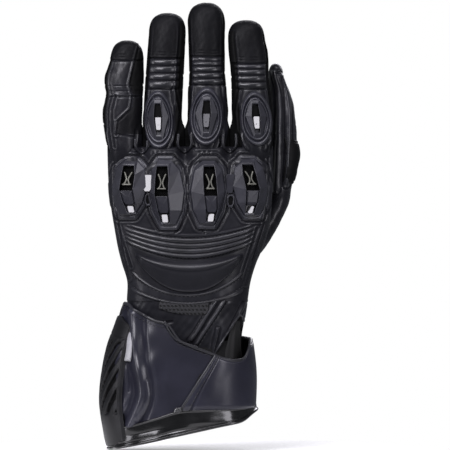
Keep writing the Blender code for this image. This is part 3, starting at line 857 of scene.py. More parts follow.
def studio():
    """Camera square to the back of the hand, a pale floor, and soft light from all round."""
    scene = bpy.context.scene
    scene.view_settings.view_transform = "Standard"
    lens = bpy.data.cameras.new("eye")
    lens.sensor_width = SENSOR
    lens.lens = SENSOR * EYE_DISTANCE / FRAME_WIDTH
    lens.clip_end = 50
    eye = bpy.data.objects.new("eye", lens)
    eye.location = (EYE_X * MM, -EYE_DISTANCE * MM, EYE_Z * MM)
    eye.rotation_euler = (math.radians(90), 0, 0)
    scene.collection.objects.link(eye)
    scene.camera = eye

    world = bpy.data.worlds.new("pale_room")
    world.use_nodes = True
    sky = world.node_tree
    room = sky.nodes["Background"]
    room.inputs["Color"].default_value = (0.90, 0.93, 1.0, 1.0)
    room.inputs["Strength"].default_value = ROOM_LIGHT
    paper = sky.nodes.new("ShaderNodeBackground")
    paper.inputs["Color"].default_value = (1.0, 1.0, 1.0, 1.0)
    seen = sky.nodes.new("ShaderNodeLightPath")
    chosen = sky.nodes.new("ShaderNodeMixShader")
    sky.links.new(seen.outputs["Is Camera Ray"], chosen.inputs[0])
    sky.links.new(room.outputs[0], chosen.inputs[1])
    sky.links.new(paper.outputs[0], chosen.inputs[2])
    sky.links.new(chosen.outputs[0], sky.nodes["World Output"].inputs[0])
    scene.world = world

    turn = np.linspace(0, TURN, 64, endpoint=False)
    radius = np.array(FLOOR_RINGS)[:, None]
    disc = points_of(radius * np.cos(turn), radius * np.sin(turn), -FLOOR_DROP)
    closed(sheet_of("floor", disc, FLOOR, wrap=True))

    # name, place, aimed at, width, height, power
    for name, place, aim, width, height, power in (
        ("key", (-0.62, -1.07, 1.15), (0, 0, 0.15), 0.85, 0.85, 22.5),
        ("top", (0.1, -0.35, 1.45), (0, 0, 0.2), 0.9, 0.4, 7.0),
        ("side", (-1.35, -0.55, 0.35), (0, 0, 0.12), 0.3, 1.1, 6.0),
        ("fill", (1.0, -1.1, 0.5), (0, 0, 0.15), 0.4, 1.0, 8.0),
        ("behind", (0.3, 1.4, 0.9), (0, 0, 0.15), 1.0, 0.8, 10.0),
    ):
        lamp = bpy.data.lights.new(name, "AREA")
        lamp.shape, lamp.size, lamp.size_y = "RECTANGLE", width, height
        lamp.energy, lamp.color = power, COOL
        light = bpy.data.objects.new(name, lamp)
        light.location = place
        way = Vector(aim) - Vector(place)
        light.rotation_euler = way.to_track_quat("-Z", "Y").to_euler()
        scene.collection.objects.link(light)


# ---------------------------------------------------------------- hand

# A tilted zone across the wrist: the cuff's side ends at one plane, and the hand's begins
# at the other.
WRIST_ZONE = ((0, 0, 117.0), (0, 9.3, 133.9))
RIB_SPREAD = 42.0
RIB_CENTRE = 3.5
RIB_TOP, RIB_SAG = 143.4, 7.6
RIB_PITCH, RIB_TIGHTENING = 3.5, 0.75
RIB_COUNT = 4
HAND_FOOT, HAND_TOP, CROWN = 101.0, 203.0, 3.2
POD_CORNERS = [(0.36, 1.0), (0.80, 0.72), (1.0, 0.04), (0.80, -0.56), (0.40, -1.0)]
POD_CHANNEL = [(0.30, 0.82), (0.37, 0.45), (0.38, -0.06), (0.34, -0.5), (0.25, -0.9)]
PAIRS = {"outer": ("little", "ring"), "inner": ("middle", "index")}

# A pod is (centre x, centre z, half width, half height, lean).
PODS = {
    "little": (-37.6, 177.4, 12.4, 18.9, 1.5),
    "ring": (-12.0, 174.0, 12.3, 22.6, -1.2),
    "middle": (15.6, 174.2, 12.1, 22.2, 0.6),
    "index": (44.4, 177.6, 12.4, 19.6, -1.6),
}


# A pod's channel wanders across it: (share of the half height, x) from its top to its foot.
CHANNELS = {
    "little": ((0.82, -37.9), (0.55, -38.1), (-0.12, -40.0), (-0.66, -36.9), (-0.9, -35.8)),
    "ring": ((0.82, -15.2), (0.45, -15.4), (-0.06, -15.8), (-0.5, -14.2), (-0.9, -12.9)),
    "middle": ((0.82, 16.4), (0.45, 16.9), (-0.06, 17.7), (-0.5, 18.4), (-0.9, 17.3)),
    "index": ((0.82, 42.4), (0.45, 43.8), (-0.10, 46.4), (-0.5, 45.6), (-0.9, 43.6)),
}


def mirrored(half):
    """A right-hand half outline, from the top down, made whole: clockwise from its top."""
    half = np.asarray(half, float)
    return np.concatenate([half, half[::-1] * (-1, 1)])


def placed(outline, place):
    """A unit outline scaled at its place, and leaned over with its height or bent along a line."""
    x, z, half_x, half_z, lean = place
    outline = np.asarray(outline, float)
    if isinstance(lean, tuple):
        shares, line = zip(*lean[::-1])
        middle = np.interp(outline[:, 1], shares, line)
    else:
        middle = x + lean * outline[:, 1]
    return np.stack([middle + half_x * outline[:, 0], z + half_z * outline[:, 1]], axis=1)


POD_EDGES = {name: placed(mirrored(POD_CORNERS), place) for name, place in PODS.items()}


def rib_rows(x):
    """Height of the wrist's highest rib groove, and the ribs' pitch: parabolas across the hand."""
    sag = ((x - RIB_CENTRE) / RIB_SPREAD) ** 2
    return RIB_TOP + RIB_SAG * sag, RIB_PITCH - RIB_TIGHTENING * sag


def rib_phase(x, z):
    """0 at the highest groove of the wrist's ribs, and one more at each groove below it."""
    top, pitch = rib_rows(x)
    return (top - z) / pitch


def back_relief(x, y, z, facing):
    """Heights sewn and folded into the back of the hand, as a sum of its features."""
    relief = 0.16 * crumple(x, y, z, 26, 3) + 0.05 * crumple(x, y, z, 7, 5)
    # welted edge of the two mouldings' seats
    for pair in PAIRS.values():
        away = np.minimum(*[outside_of(x, z, POD_EDGES[name]) for name in pair])
        relief += 0.75 * (1 - ease(away, 2.0, 3.0)) - 0.35 * hump(away, 3.4, 0.9)
        relief += 0.3 * hump(away, 4.6, 1.1)
    # accordion over the wrist
    phase = rib_phase(x, z)
    inside = ease(-np.abs(x - RIB_CENTRE), -RIB_SPREAD - 3, -RIB_SPREAD + 5)
    part = phase - np.floor(phase)
    ribs = (4 * part * (1 - part)) ** 0.55
    relief += 1.6 * ribs * (0.65 + 0.35 * part) * inside * (phase > 0) * (phase < RIB_COUNT)
    relief -= 0.5 * inside * (hump(phase, 0, 0.22) + hump(phase, RIB_COUNT, 0.25))
    relief += 0.35 * inside * hump(phase, -0.55, 0.45)
    # side seams, and folds beside the pad
    for path, depth in (
        ([(-47.2, 192), (-46.8, 170), (-44.6, 150), (-41.5, 132), (-37.5, 116)], 0.5),
        ([(-44.4, 152), (-41.0, 138), (-36.2, 124)], 0.35),
        ([(56.6, 198), (57.0, 175), (53.5, 152), (48.0, 135), (41.0, 112)], 0.5),
        ([(49.0, 150), (44.5, 136), (38.0, 116)], 0.35),
    ):
        relief += seam(away_from(x, z, path), -depth, 0.8, 0.6 * depth, 1.5)
    # leather drawn together between the middle pods
    drawn = hump(x - 2, 0, 5.0 + 0.2 * np.clip(172 - z, 0, 30))
    relief += 0.5 * drawn * ease(z, 146, 152) * (1 - ease(z, 168, 176))
    for path in ([(-6.5, 147), (-2.5, 151), (1.6, 172.5)], [(13.5, 147), (9.5, 151), (2.4, 172.5)]):
        relief -= 0.6 * hump(away_from(x, z, path), 0, 1.0)
    # a soft welt between the pods and the fingers
    middle = 196.3 - 0.004 * (x - 15) ** 2
    relief += 1.0 * hump(z - middle, 0, 4.2) * ease(x, -30, -20) * (1 - ease(x, 52, 60))
    # gathers under the fingers' guards
    for centre in (-17.5, 14.4, 48.5):
        fan = np.sin((x - centre) * 1.9) * hump(x, centre, 7.5)
        relief += 0.28 * fan * hump(z, 201, 4.5)
    return relief * facing


def hand_points(start, stop, columns, rows):
    """The hand's tube up to the crotches, closed over between them as a quarter ellipse."""
    angles = even_angles(ARM, 150, start, stop, columns)
    x, y, z = xyz(between(ARM, angles, HAND_FOOT, HAND_TOP, rows))
    centre = section(ARM, z)[1]
    y = centre + (y - centre) * pinch(x, z)
    over = np.radians(np.linspace(0, 90, 12))[1:, None]
    crown_y = centre[-1] + (y[-1] - centre[-1]) * np.cos(over)
    crown = points_of(x[-1], crown_y, z[-1] + CROWN * np.sin(over))
    return np.concatenate([points_of(x, y, z), crown])


def hand():
    """Back and palm of the hand, from the wrist to the crotches."""
    back = hand_points(176, 364, 300, 236)
    x, y, z = xyz(back)
    below_crown = 1 - ease(z, 201.5, 203.2)
    relief = back_relief(x, y, z, ease(-normals_of(back)[..., 1], 0.0, 0.25) * below_crown)
    phase = rib_phase(x, z)
    ribs = (phase > -0.6) & (phase < 4.3) & (np.abs(x - RIB_CENTRE) < RIB_SPREAD + 1)
    kinds = np.where((x < -48.6) | (x > 57.5), 2, ribs.astype(int))[:-1, :-1]
    skin = skin_of("hand_back_leather", back, relief, [LEATHER, RIBBED, SUPPLE], kinds=kinds)
    bending(
        skin, ("cuff", "hand"), WRIST_ZONE, "leather",
        "back_panel", "index_side_panel", "wrist_accordion",
    )

    palm = hand_points(2, 178, 190, 190)
    x, y, z = xyz(palm)
    relief = 0.22 * crumple(x, y, z, 20, 11) + 0.06 * crumple(x, y, z, 6, 12)
    for path in (
        [(-46, 196), (-40, 172), (-38, 150), (-36, 128), (-30, 108)],
        [(52, 200), (30, 190), (12, 178), (6, 160), (10, 140), (18, 120), (26, 104)],
        [(-44, 163), (-20, 160), (4, 160), (30, 163)],
    ):
        relief += seam(away_from(x, z, path), -0.7, 0.9, 0.45, 1.7, 1.1)
    relief -= 0.9 * hump(z, 122 + 0.1 * x, 2.2) + 0.6 * hump(z, 114 - 0.08 * x, 1.8)
    facing = ease(normals_of(palm)[..., 1], 0.0, 0.25) * (1 - ease(z, 201.5, 203.2))
    kinds = ((z < 131 - 0.05 * x) & (z > 106))[:-1, :-1].astype(int)
    palm = lifted(palm, relief * facing)
    finishes = [PALM_LEATHER, SUPPLE]
    # tone: painted shade in the palm's seams and painted highlight on its welts.
    skin = sheet_of("hand_palm_leather", palm, finishes, kinds=kinds, tone=creases(relief))
    bending(
        skin, ("cuff", "hand"), WRIST_ZONE, "leather",
        "palm_panel", "little_edge_panel", "thumb_root", "wrist_gather",
    )


def wrist():
    """Sleeve between the cuff and the hand, with slanted welts and wrinkles."""
    angles = even_angles(ARM, 90, 0, 360, 421)[:-1]
    grid = between(ARM, angles, 57.0, 103.5, 106)
    x, y, z = xyz(grid)
    relief = 0.3 * crumple(x, y, z, 15, 21) + 0.1 * crumple(x, y, z, 5, 22)
    back = y < 0
    for path, high in (
        ([(20.5, 101), (15.0, 92), (7.0, 79.0), (3.0, 74)], 0.9),
        ([(26.5, 101), (20.0, 91), (12.0, 79.0), (7.0, 71)], 0.9),
        ([(42.5, 103), (37.0, 92), (33.0, 84), (29, 74)], 0.7),
        ([(22.5, 82), (19.5, 68), (18.0, 60)], 0.6),
    ):
        relief += np.where(back, seam(away_from(x, z, path), high, 1.3, -0.4, 1.9, 0.8), 0)
    relief -= np.where(back, 0.5 * hump(z, 88 + 0.12 * x, 1.6) * (x < -8), 0)
    slit = 21.8 + 0.624 * (z - 66)
    opening = ease(x - slit, 0, 1.6) * (1 - ease(x, 38.0, 40.5)) * (1 - ease(z, 87, 91)) * back
    relief -= 7.5 * opening
    relief += back * 0.8 * hump(x - slit, -0.9, 1.1) * (z < 92)
    relief = relief * (1 - ease(z, 99, 103)) - 0.35
    # The sunken opening takes the dark fourchette leather: painted shade of the glove's dark
    # inside.
    kinds = (opening > 0.1)[:-1].astype(int)
    skin = skin_of("wrist_leather", grid, relief, [LEATHER, SIDE_LEATHER_AND_SHADE], True, kinds)
    settled(walled(skin, 1.4), "cuff", "leather", "wrist_back", "wrist_palm")


def on_back(path, surface, lift, step=0.8):
    """A path in x and z, laid that far above a surface that gives y."""
    x, z = curve_through(path, step).T
    return points_of(x, surface(x, z) - lift, z)


def wrist_pad():
    """Crescent cushion below the ribs: thick at its shallow top edge, thin at its curved foot."""
    across = np.linspace(-1, 1, 150)
    middle, half = RIB_CENTRE - 0.6, 36.5
    x = middle + half * np.sign(across) * (1 - (1 - np.abs(across)) ** 1.35)
    s = (x - middle) / half
    top = 128.4 + 5.2 * s**2
    low = 106.6 + 23.4 * np.abs(s) ** 2.3
    t = np.linspace(0, 1, 64)[:, None]
    z = low + (top - low) * t
    rise = (0.5 + 0.5 * ease(t, 0, 0.6)) * ease(t, -0.02, 0.06) * (1 - ease(t, 0.70, 1.02)) ** 0.8
    ends = ease(1 - np.abs(s), 0.0, 0.12)
    lift = 3.9 * rise * (0.25 + 0.75 * ends) + 0.9 * hump(t, 0.80, 0.16) * ends
    under = hand_back(x[None, :], z)
    front = points_of(x, under - lift + 0.3, z)
    rear = points_of(x, under + 0.9, z)[::-1]
    shell = np.concatenate([front, rear, front[:1]])
    # tone: painted highlight and shade from the pad's rise on its front, none on its back.
    tone = np.concatenate([creases(lift + 0 * z), 0 * z, 0 * z[:1]])
    pad = closed(sheet_of("wrist_crescent_pad", shell, SUPPLE, tone=tone))
    settled(pad, "cuff", "leather", "back_pad")


def wrist_band():
    """Stitched band under the pad, with a welt along each edge."""
    angles = even_angles(ARM, 105, 196, 344, 190)

    def low(x, y):
        return 98.2 + 8.4 * ((x - 2) / 38) ** 2

    def high(x, y):
        return 106.0 + 16.5 * (np.abs(x - 2) / 38) ** 2.2

    rows = 34
    grid = between(ARM, angles, low, high, rows)
    t = np.linspace(0, 1, rows)[:, None] + 0 * angles
    side = ease(-np.abs(grid[..., 0] - 1.5), -40, -33)
    lift = 0.9 * side * roll(t, 0.5, 0.5) ** 0.5
    lift += 0.7 * side * (hump(t, 0.14, 0.12) + hump(t, 0.86, 0.12))
    lift += 0.12 * crumple(*xyz(grid), 11, 31) * side - 0.35
    settled(skin_of("band_leather", grid, lift, SUPPLE), "cuff", "leather", "wrist_band")
    for edge, row in (("low", 8), ("high", 24)):
        path = lifted(grid, lift + 0.1)[row, 12:-12]
        settled(stitches(f"wrist_band_stitches_{edge}", path, **FINE), "cuff", "leather")


def wrist_patch():
    """Perforated patch on the lower wrist, and the slanted straps sewn beside it."""
    x = np.linspace(-17.5, 16.0, 100)
    t = np.linspace(0, 1, 40)[:, None]
    low = 91.8 + 2.2 * (x / 17) ** 2 - 0.10 * x
    high = 99.6 + 0.9 * (x / 17) ** 2
    z = low + (high - low) * t
    lift = 0.55 * roll(t, 0.5, 0.5) ** 0.4 * ease(1 - np.abs(x + 0.7) / 17, 0, 0.05) + 0.12
    grid = points_of(x, hand_back(x, z) - lift, z)
    settled(sheet_of("wrist_perforated_patch", grid, PERFORATED), "cuff", "fabric")
    for name, path in (
        ("a", [(21.5, 101), (15.5, 92), (7.5, 79), (4.0, 74)]),
        ("b", [(27.0, 101), (20.5, 91), (12.5, 79), (8.0, 71.5)]),
    ):
        laid = on_back(path, hand_back, 0.35)
        welt = sweep(f"wrist_slant_welt_{name}", laid, 0.85, SUPPLE, squash=0.8)
        settled(welt, "cuff", "leather")
    for name, path in (
        ("a", [(19.2, 101), (13.2, 92), (5.2, 79)]),
        ("b", [(29.4, 101), (22.8, 91), (14.8, 79), (10.2, 71.5)]),
        ("c", [(23.5, 84), (20.2, 70), (18.6, 63)]),
    ):
        laid = on_back(path, hand_back, 0.55)
        settled(stitches(f"wrist_slant_stitches_{name}", laid, **FINE), "cuff", "leather")


def hand_stitching():
    """Seams sewn across the ribs and along the mouldings' seats."""
    x = np.linspace(RIB_CENTRE - 40, RIB_CENTRE + 40, 120)
    top, pitch = rib_rows(x)
    for number in range(RIB_COUNT + 1):
        z = top - number * pitch
        laid = points_of(x, hand_back(x, z) + 0.05, z)
        row = stitches(f"wrist_rib_stitches_{number}", laid, **FINEST)
        bending(row, ("cuff", "hand"), WRIST_ZONE, "leather")
    # loops round the pods, left out beside the neighbouring pod and on the hand's edges
    for name, other in [order for pair in PAIRS.values() for order in (pair, pair[::-1])]:
        x, z, half_x, half_z, lean = PODS[name]
        grown = placed(mirrored(POD_CORNERS), (x, z, half_x + 3.6, half_z + 3.4, lean))
        x, z = curve_through(np.concatenate([grown, grown[:1]]), 0.6).T
        centre, _, half, _ = section(ARM, z)
        clear = (outside_of(x, z, POD_EDGES[other]) > 3.2) & (np.abs(x - centre) < 0.86 * half)
        edges = np.flatnonzero(np.diff(np.concatenate([[0], clear.astype(int), [0]])))
        for part, (first, last) in enumerate(zip(edges[::2], edges[1::2])):
            if last - first >= 12:
                run_x, run_z = x[first:last], z[first:last]
                laid = points_of(run_x, hand_back(run_x, run_z) - 0.15, run_z)
                row = stitches(f"knuckle_stitches_{name}_{part}", laid, **FINEST)
                settled(row, "hand", "leather")


# ---------------------------------------------------------------- mouldings


def cushion(grid, lift, sunk):
    """A patch's front, lifted off a grid, and its back, sunk behind it, as one closed shell."""
    front = lifted(grid, lift)
    rear = lifted(grid, sunk + 0 * lift)[::-1]
    return np.concatenate([front, rear, front[:1]])


def stepped(name, place, rings, surface, finish, flat=True):
    """Rings from the outside in to a cap: (unit outline, scale, heights, its own place if any)."""
    points = []
    for outline, scale, heights, *own in rings:
        x, z = placed(outline * scale, own[0] if own else place).T
        points.append(points_of(x, surface(x, z) - np.asarray(heights, float), z))
    points.append(points[-1].mean(axis=0) + 0 * points[-1])
    tone = None
    if not flat:
        heights = np.array([np.mean(ring[2]) for ring in (*rings, rings[-1])])
        # Height steps between rings become painted shade and highlight for the leather finishes.
        tone = creases(np.repeat(heights[:, None], len(points[0]), axis=1), True)
    return closed(sheet_of(name, np.stack(points), finish, wrap=True, flat=flat, tone=tone))


def both(heights):
    """Heights down the right-hand half of an outline, and back up the left."""
    return np.concatenate([heights, heights[::-1]])


POD_RIM = both([2.4, 2.8, 3.2, 2.8, 2.0])
POD_RIDGE = both([4.8, 6.4, 7.0, 5.8, 3.4])
PLATE_TOP = both([5.0, 5.2, 4.4, 3.9])
TAB_TILT = (19.0, 12.5)
STRUT_ARM = np.array([(0.21, 0.56), (0.12, 0.44), (0.05, 0.30), (0.11, 0.18), (0.22, 0.10)])
STRUT_FOOT = [(-0.24, 0.12), (0.24, 0.12)]


def facets(name, place, surface, corners, channel, rim, ridge, floor, skirt=0.12, within=None):
    """A faceted moulding: skirt, steep wall, facets rising to a ridge, and a channel sunk in it."""
    outer, inner = mirrored(corners), mirrored(channel)
    within = within or place
    rings = [
        (outer, 1 + skirt, -0.8),
        (outer, 1 + skirt * 0.85, 0.9),
        (outer, 1 + skirt * 0.35, 1.5),
        (outer, 1 + skirt * 0.12, 1.3),
        (outer, 0.985, 1.0),
        (outer, 0.94, rim),
        (inner, 1.04, ridge, within),
        (inner, 0.97, ridge - 0.15, within),
        (inner, 0.93, floor, within),
    ]
    return rounded(stepped(name, place, rings, surface, ARMOUR), 0.3)


def slab(name, place, surface, finish, corners, low, high, inset=0.82, tilt=None):
    """A small raised plate; with tilt it is a plane, facing up and left by those degrees."""
    outline = mirrored(corners)
    if tilt:
        x, z = placed(outline, place).T
        up, left = np.tan(np.radians(tilt))
        y = surface(x.mean(), z.mean()) - high
        high = surface(x, z) - (y + (z - z.mean()) * up - (x - x.mean()) * left)
    rings = [(outline, 1.0, low), (outline, 1.0, high - 0.5), (outline * (inset, 1), 1.0, high)]
    return rounded(stepped(name, place, rings, surface, finish), 0.25)


def pit(name, place, outline, steps, surface):
    """Floor of an opening in the near-black finish, as painted shade: its outline at two scales and
    heights.
    """
    rings = [(outline, scale, height) for scale, height in steps]
    return stepped(name, place, rings, surface, MESH_AND_PIT_SHADE)


def window(name, place, surface):
    """Metal strut of a vent: two bowed arms and a foot, standing over the screen."""
    parts = []
    for number, arm in enumerate((STRUT_ARM * (-1, 1), STRUT_ARM, STRUT_FOOT)):
        x, z = placed(curve_through(arm, 0.03), place).T
        path = points_of(x, surface(x, z) - 3.6, z)
        parts.append(sweep(f"{name}_{number}", path, 0.5, STRUT, sides=8, squash=0.8))
    return joined(name, parts)


def screen(name, place, surface):
    """Mesh behind a vent: crossed wires as a height of products of sines, near-black both as the
    mesh's own colour and as painted shade of the pit behind it.
    """
    u, v = np.meshgrid(np.linspace(-0.36, 0.36, 56), np.linspace(-0.12, 0.82, 110))
    flat = placed(np.stack([u.ravel(), v.ravel()], axis=1), place).reshape(*u.shape, 2)
    x, z = xyz(flat)
    wires = np.maximum(np.abs(np.sin((x + z) * 2.1)), np.abs(np.sin((x - z) * 2.1))) ** 6
    return sheet_of(name, points_of(x, surface(x, z) - 1.5 - 0.5 * wires, z), MESH_AND_PIT_SHADE)


def knuckles():
    """Four faceted pods over the knuckles, with their vents, plates, glossy tabs and bridges."""
    for name, place in PODS.items():
        within = (*place[:4], CHANNELS[name])
        shell = facets(
            f"knuckle_shell_{name}", place, hand_back,
            POD_CORNERS, POD_CHANNEL, POD_RIM, POD_RIDGE, 1.2, within=within,
        )
        # one pod of each moulding stands for what the two share
        shared = {"ring": "outer", "middle": "inner"}.get(name)
        base = [f"knuckle_base_{shared}"] if shared else []
        vent = [f"knuckle_vent_{shared}"] if shared else []
        settled(shell, "hand", "armour", f"knuckle_pod_{name}", *base)
        mesh = screen(f"knuckle_screen_{name}", within, hand_back)
        settled(mesh, "hand", "vent_mesh", *vent)
        settled(window(f"knuckle_strut_{name}", within, hand_back), "hand", "slider")
        plate = slab(
            f"knuckle_slider_{name}", within, hand_back, PLATE,
            [(0.34, -0.10), (0.36, -0.14), (0.31, -0.52), (0.24, -0.60)], 1.0, PLATE_TOP,
        )
        settled(plate, "hand", "slider", f"knuckle_plate_{name}")
        tab = slab(
            f"knuckle_tab_{name}", within, hand_back, GLOSS,
            [(0.17, -0.64), (0.21, -0.67), (0.20, -0.86), (0.15, -0.89)], 0.8, 3.1, tilt=TAB_TILT,
        )
        settled(tab, "hand", "gloss_insert")


def bridges():
    """Slivers between the outer pods, glossy, and the inner, dark, each with a slot below."""
    for name, place, finish, tilt in (
        ("outer", (-24.9, 180.6, 3.5, 5.8, 0.6), GLOSS, (17.0, 9.0)),
        ("inner", (30.6, 180.2, 3.0, 6.4, 0.2), PLATE, (2.0, -4.0)),
    ):
        corners = [(0.8, 1.0), (0.95, 0.7), (0.72, -0.8), (0.5, -1.0)]
        sliver = slab(
            f"link_sliver_{name}", place, hand_back, finish, corners, -0.3, 2.9,
            inset=0.9, tilt=tilt,
        )
        settled(sliver, "hand", "gloss_insert", f"link_insert_{name}")
        x, z, _, half_z, _ = place
        below = (x + 0.4, z - half_z - 5.2, 2.1, 3.9, 0.2)
        outline = mirrored([(0.55, 1.0), (1.0, 0.55), (0.9, -0.5), (0.45, -1.0)])
        steps = ((1.25, -0.3), (1.1, 1.7), (0.85, 1.8), (0.7, 0.4))
        rings = [(outline, scale, height) for scale, height in steps]
        cup = rounded(stepped(f"link_slot_{name}", below, rings, hand_back, ARMOUR), 0.2)
        settled(cup, "hand", "armour")
        floor = pit(f"link_pit_{name}", below, outline, ((0.78, 0.2), (0.7, 0.75)), hand_back)
        settled(floor, "hand", "vent_mesh")


# ---------------------------------------------------------------- fingers

SIDE_SEAMS = {
    "little": (-0.9, 0.9), "ring": (-0.9, 0.66), "middle": (-0.9, 0.9), "index": (-0.66, 0.9),
}
# Seam round the little finger's dark side panel, from its top down.
LITTLE_SEAM = np.array([
    (-31.0, 275), (-33.6, 264), (-37.4, 247.5), (-35.2, 239), (-36.6, 230.5), (-45.4, 222.4),
    (-46.8, 213.5),
])
GUARD_WELT = np.array([(1.0, 1.0), (1.22, 0.25), (1.1, -0.4), (0.55, -1.08)])
GUARD_CORNERS = [(0.40, 1.0), (1.0, 0.14), (0.36, -1.0)]
GUARD_CHANNEL = [(0.27, 0.72), (0.40, 0.10), (0.22, -0.74)]


def finger_grid(name, low, high=None, rows=None, columns=150):
    """Grid of one finger's skin; with no upper end given it closes over the tip."""
    shape = TUBES[name] if name in TUBES else THUMB
    angles = even_angles(shape, 225, 90, 450, columns + 1)[:-1]
    z = np.linspace(low, high, rows) if high else domed_rows(low, shape, 0.5)
    x, y = wall(shape, angles[None, :], z[:, None])
    return points_of(x, y, z[:, None])


def across_finger(name, x, z):
    """-1 at a finger's edge towards the little finger, 1 at its edge towards the thumb."""
    centre, _, half, _ = section(TUBES[name], z)
    return (x - centre) / np.maximum(half, 2.0)


def little_side(x, z):
    """Inside the little finger's dark side panel, below and right of its curved seam."""
    across, up = LITTLE_SEAM[::-1].T
    return (x > smooth(z, up, across)) & (z < up[-1]) & (z > up[0])


def finger_relief(name, finger, x, y, z, facing):
    """Ribs over the middle joint, the cap's seam, lengthwise seams and creases."""
    u = across_finger(name, x, z)
    bowed = z - 0.9 * u**2
    relief = 0.14 * crumple(x, y, z, 13, 41) + 0.05 * crumple(x, y, z, 4, 42)
    grooves = np.array(finger.grooves, float)
    step = np.clip(np.searchsorted(grooves, bowed) - 1, 0, len(grooves) - 2)
    part = np.clip((bowed - grooves[step]) / (grooves[step + 1] - grooves[step]), 0, 1)
    width = 1 - ease(np.abs(u), 0.70, 0.86)
    low, high = grooves[0], grooves[-1]
    if finger.guard:
        ribs = (4 * part * (1 - part)) ** 0.6 * (0.7 + 0.3 * part)
        seat = ease(bowed, low - 1, low) * (1 - ease(bowed, high, high + 1))
        seat *= (1 - ease(np.abs(u), 0.8, 0.95)) * facing
        relief += 1.5 * ribs * width * facing - 0.35 * seat
    else:
        bent = (bowed > low - 1) & (bowed < high + 1)
        relief -= 0.3 * hump(part, 0, 0.16) * width * facing * bent
    above = bowed - finger.seam
    relief += 0.45 * ease(above, -0.2, 0.6) * facing - 0.4 * hump(above, -0.5, 0.8) * facing
    puckers = (hump(above, 2.2, 0.7) + hump(above, 4.0, 0.8)) * (0.5 + 0.5 * np.sin(x * 0.7))
    relief -= 0.18 * puckers * facing
    for at in SIDE_SEAMS[name]:
        if name == "little" and at > 0:
            continue
        line = (u - at) * 12.5
        fade = 1 - ease(z, finger.top - 14, finger.top - 6)
        relief += facing * fade * seam(line, -0.55, 0.8, 0.3, -np.sign(at) * 1.5, 1.1)
    if name == "little":
        away = away_from(x, z, LITTLE_SEAM)
        relief += facing * seam(away, -0.7, 0.9, 0.55 * ~little_side(x, z), 1.5, 1.2)
        away = away_from(x, z, [(-47.0, 240), (-49.4, 230), (-49.0, 216), (-47.5, 205)])
        relief += facing * seam(away, -0.5, 0.8, 0.3, 1.4)
        away = away_from(x, z, [(-46.8, 213.6), (-40, 213.0), (-34, 212.2)])
        relief -= 0.45 * facing * hump(away, 0, 0.9)
    if finger.guard:
        at_x, at_z, half_x, half_z, _ = finger.guard
        for side in (-1, 1):
            path = placed(GUARD_WELT * (side, 1), (at_x, at_z, half_x, half_z, 0))
            relief += facing * seam(away_from(x, z, path), 0.75, 1.3, -0.4, 1.9, 0.9)
    # welts beside the slots between the fingers
    root = ease(z, 201, 204) * (1 - ease(z, 214, 219))
    welt = hump(np.abs(u), 0.84, 0.08) - 0.5 * hump(np.abs(u), 0.71, 0.07)
    relief += 0.9 * facing * root * welt
    return relief


def filled_gaps(finger, points):
    """Side gussets: each finger's root widened to meet its neighbour, behind the slots."""
    x, y, z = xyz(points)
    normal = normals_of(points, wrap=True)
    deep = ease(y, -8.5, -4.0) * ease(z, 194, 199) * (1 - ease(z, 217, 225))
    for crotch, side in zip(finger.gaps, (-1, 1)):
        if crotch is not None:
            reach = np.maximum(side * (crotch - x) + 0.1, 0)
            x = x + side * reach * deep * ease(side * normal[..., 0], 0.25, 0.7)
    return points_of(x, y, z)


def finger_kinds(name, finger, points):
    """Which of the finger's finishes each cell has, by its number."""
    x, _, z = xyz(points)
    normal = normals_of(points, wrap=True)
    u = across_finger(name, x, z)
    low, high = SIDE_SEAMS[name]
    ribs = (z > finger.grooves[0]) & (z < finger.seam) & (normal[..., 1] < 0)
    kinds = np.where(z > finger.seam, 4, ribs.astype(int))
    side = (u < low) | (u > high)
    if name == "little":
        inner = little_side(x, z) & (normal[..., 1] < 0.2)
        kinds = np.where(inner & (z <= 241), 4, kinds)
        side = (u < low) | (inner & (z > 241))
    kinds = np.where(side & (z < finger.top - 8), 2, kinds)
    return np.where(normal[..., 1] > 0.45, 3, kinds)[:-1]


FINGER_FINISHES = [LEATHER, RIBBED, SIDE_LEATHER_AND_SHADE, PALM_LEATHER, CAP_LEATHER]


def fingers():
    """Four fingers: a root that rises out of the hand, and a ribbed end with the middle joint."""
    for name, finger in FINGERS.items():
        split = finger.grooves[0]
        root = finger_grid(name, 189.0, split + 0.5, 118)
        x, y, z = xyz(root)
        facing = ease(-normals_of(root, wrap=True)[..., 1], 0.0, 0.3)
        relief = finger_relief(name, finger, x, y, z, facing) * ease(z, 200, 205)
        relief -= 0.5 * ease(z, split - 0.6, split + 0.4)
        relief -= 0.6 * (1 - facing) * hump(z, 221, 0.9) + 0.5 * (1 - facing) * hump(z, 206, 1.0)
        skin = filled_gaps(finger, lifted(root, relief, wrap=True))
        kinds = finger_kinds(name, finger, root)
        # tone: painted shade in the root's seams and painted highlight on its welts.
        tone = creases(relief, True)
        piece = sheet_of(f"{name}_root", skin, FINGER_FINISHES, True, kinds, tone=tone)
        bending(
            piece, ("hand", f"{name}_lower"), upright(193, 206), "leather",
            f"{name}_stall", f"{name}_accordion",
        )

        end = finger_grid(name, split - 0.9)
        x, y, z = xyz(end)
        facing = ease(-normals_of(end, wrap=True)[..., 1], 0.0, 0.3)
        facing = facing * (1 - ease(z, finger.top - 4, finger.top))
        relief = finger_relief(name, finger, x, y, z, facing)
        relief -= 0.9 * (1 - ease(z, split - 0.9, split + 0.5))
        relief -= 0.5 * (1 - facing) * hump(z, finger.bend, 1.3) * (z < finger.top - 10)
        kinds = finger_kinds(name, finger, end)
        piece = closed(skin_of(f"{name}_end", end, relief, FINGER_FINISHES, True, kinds))
        zone = upright(finger.bend - 9, finger.bend + 9)
        bending(piece, (f"{name}_lower", f"{name}_upper"), zone, "leather", f"{name}_tip")


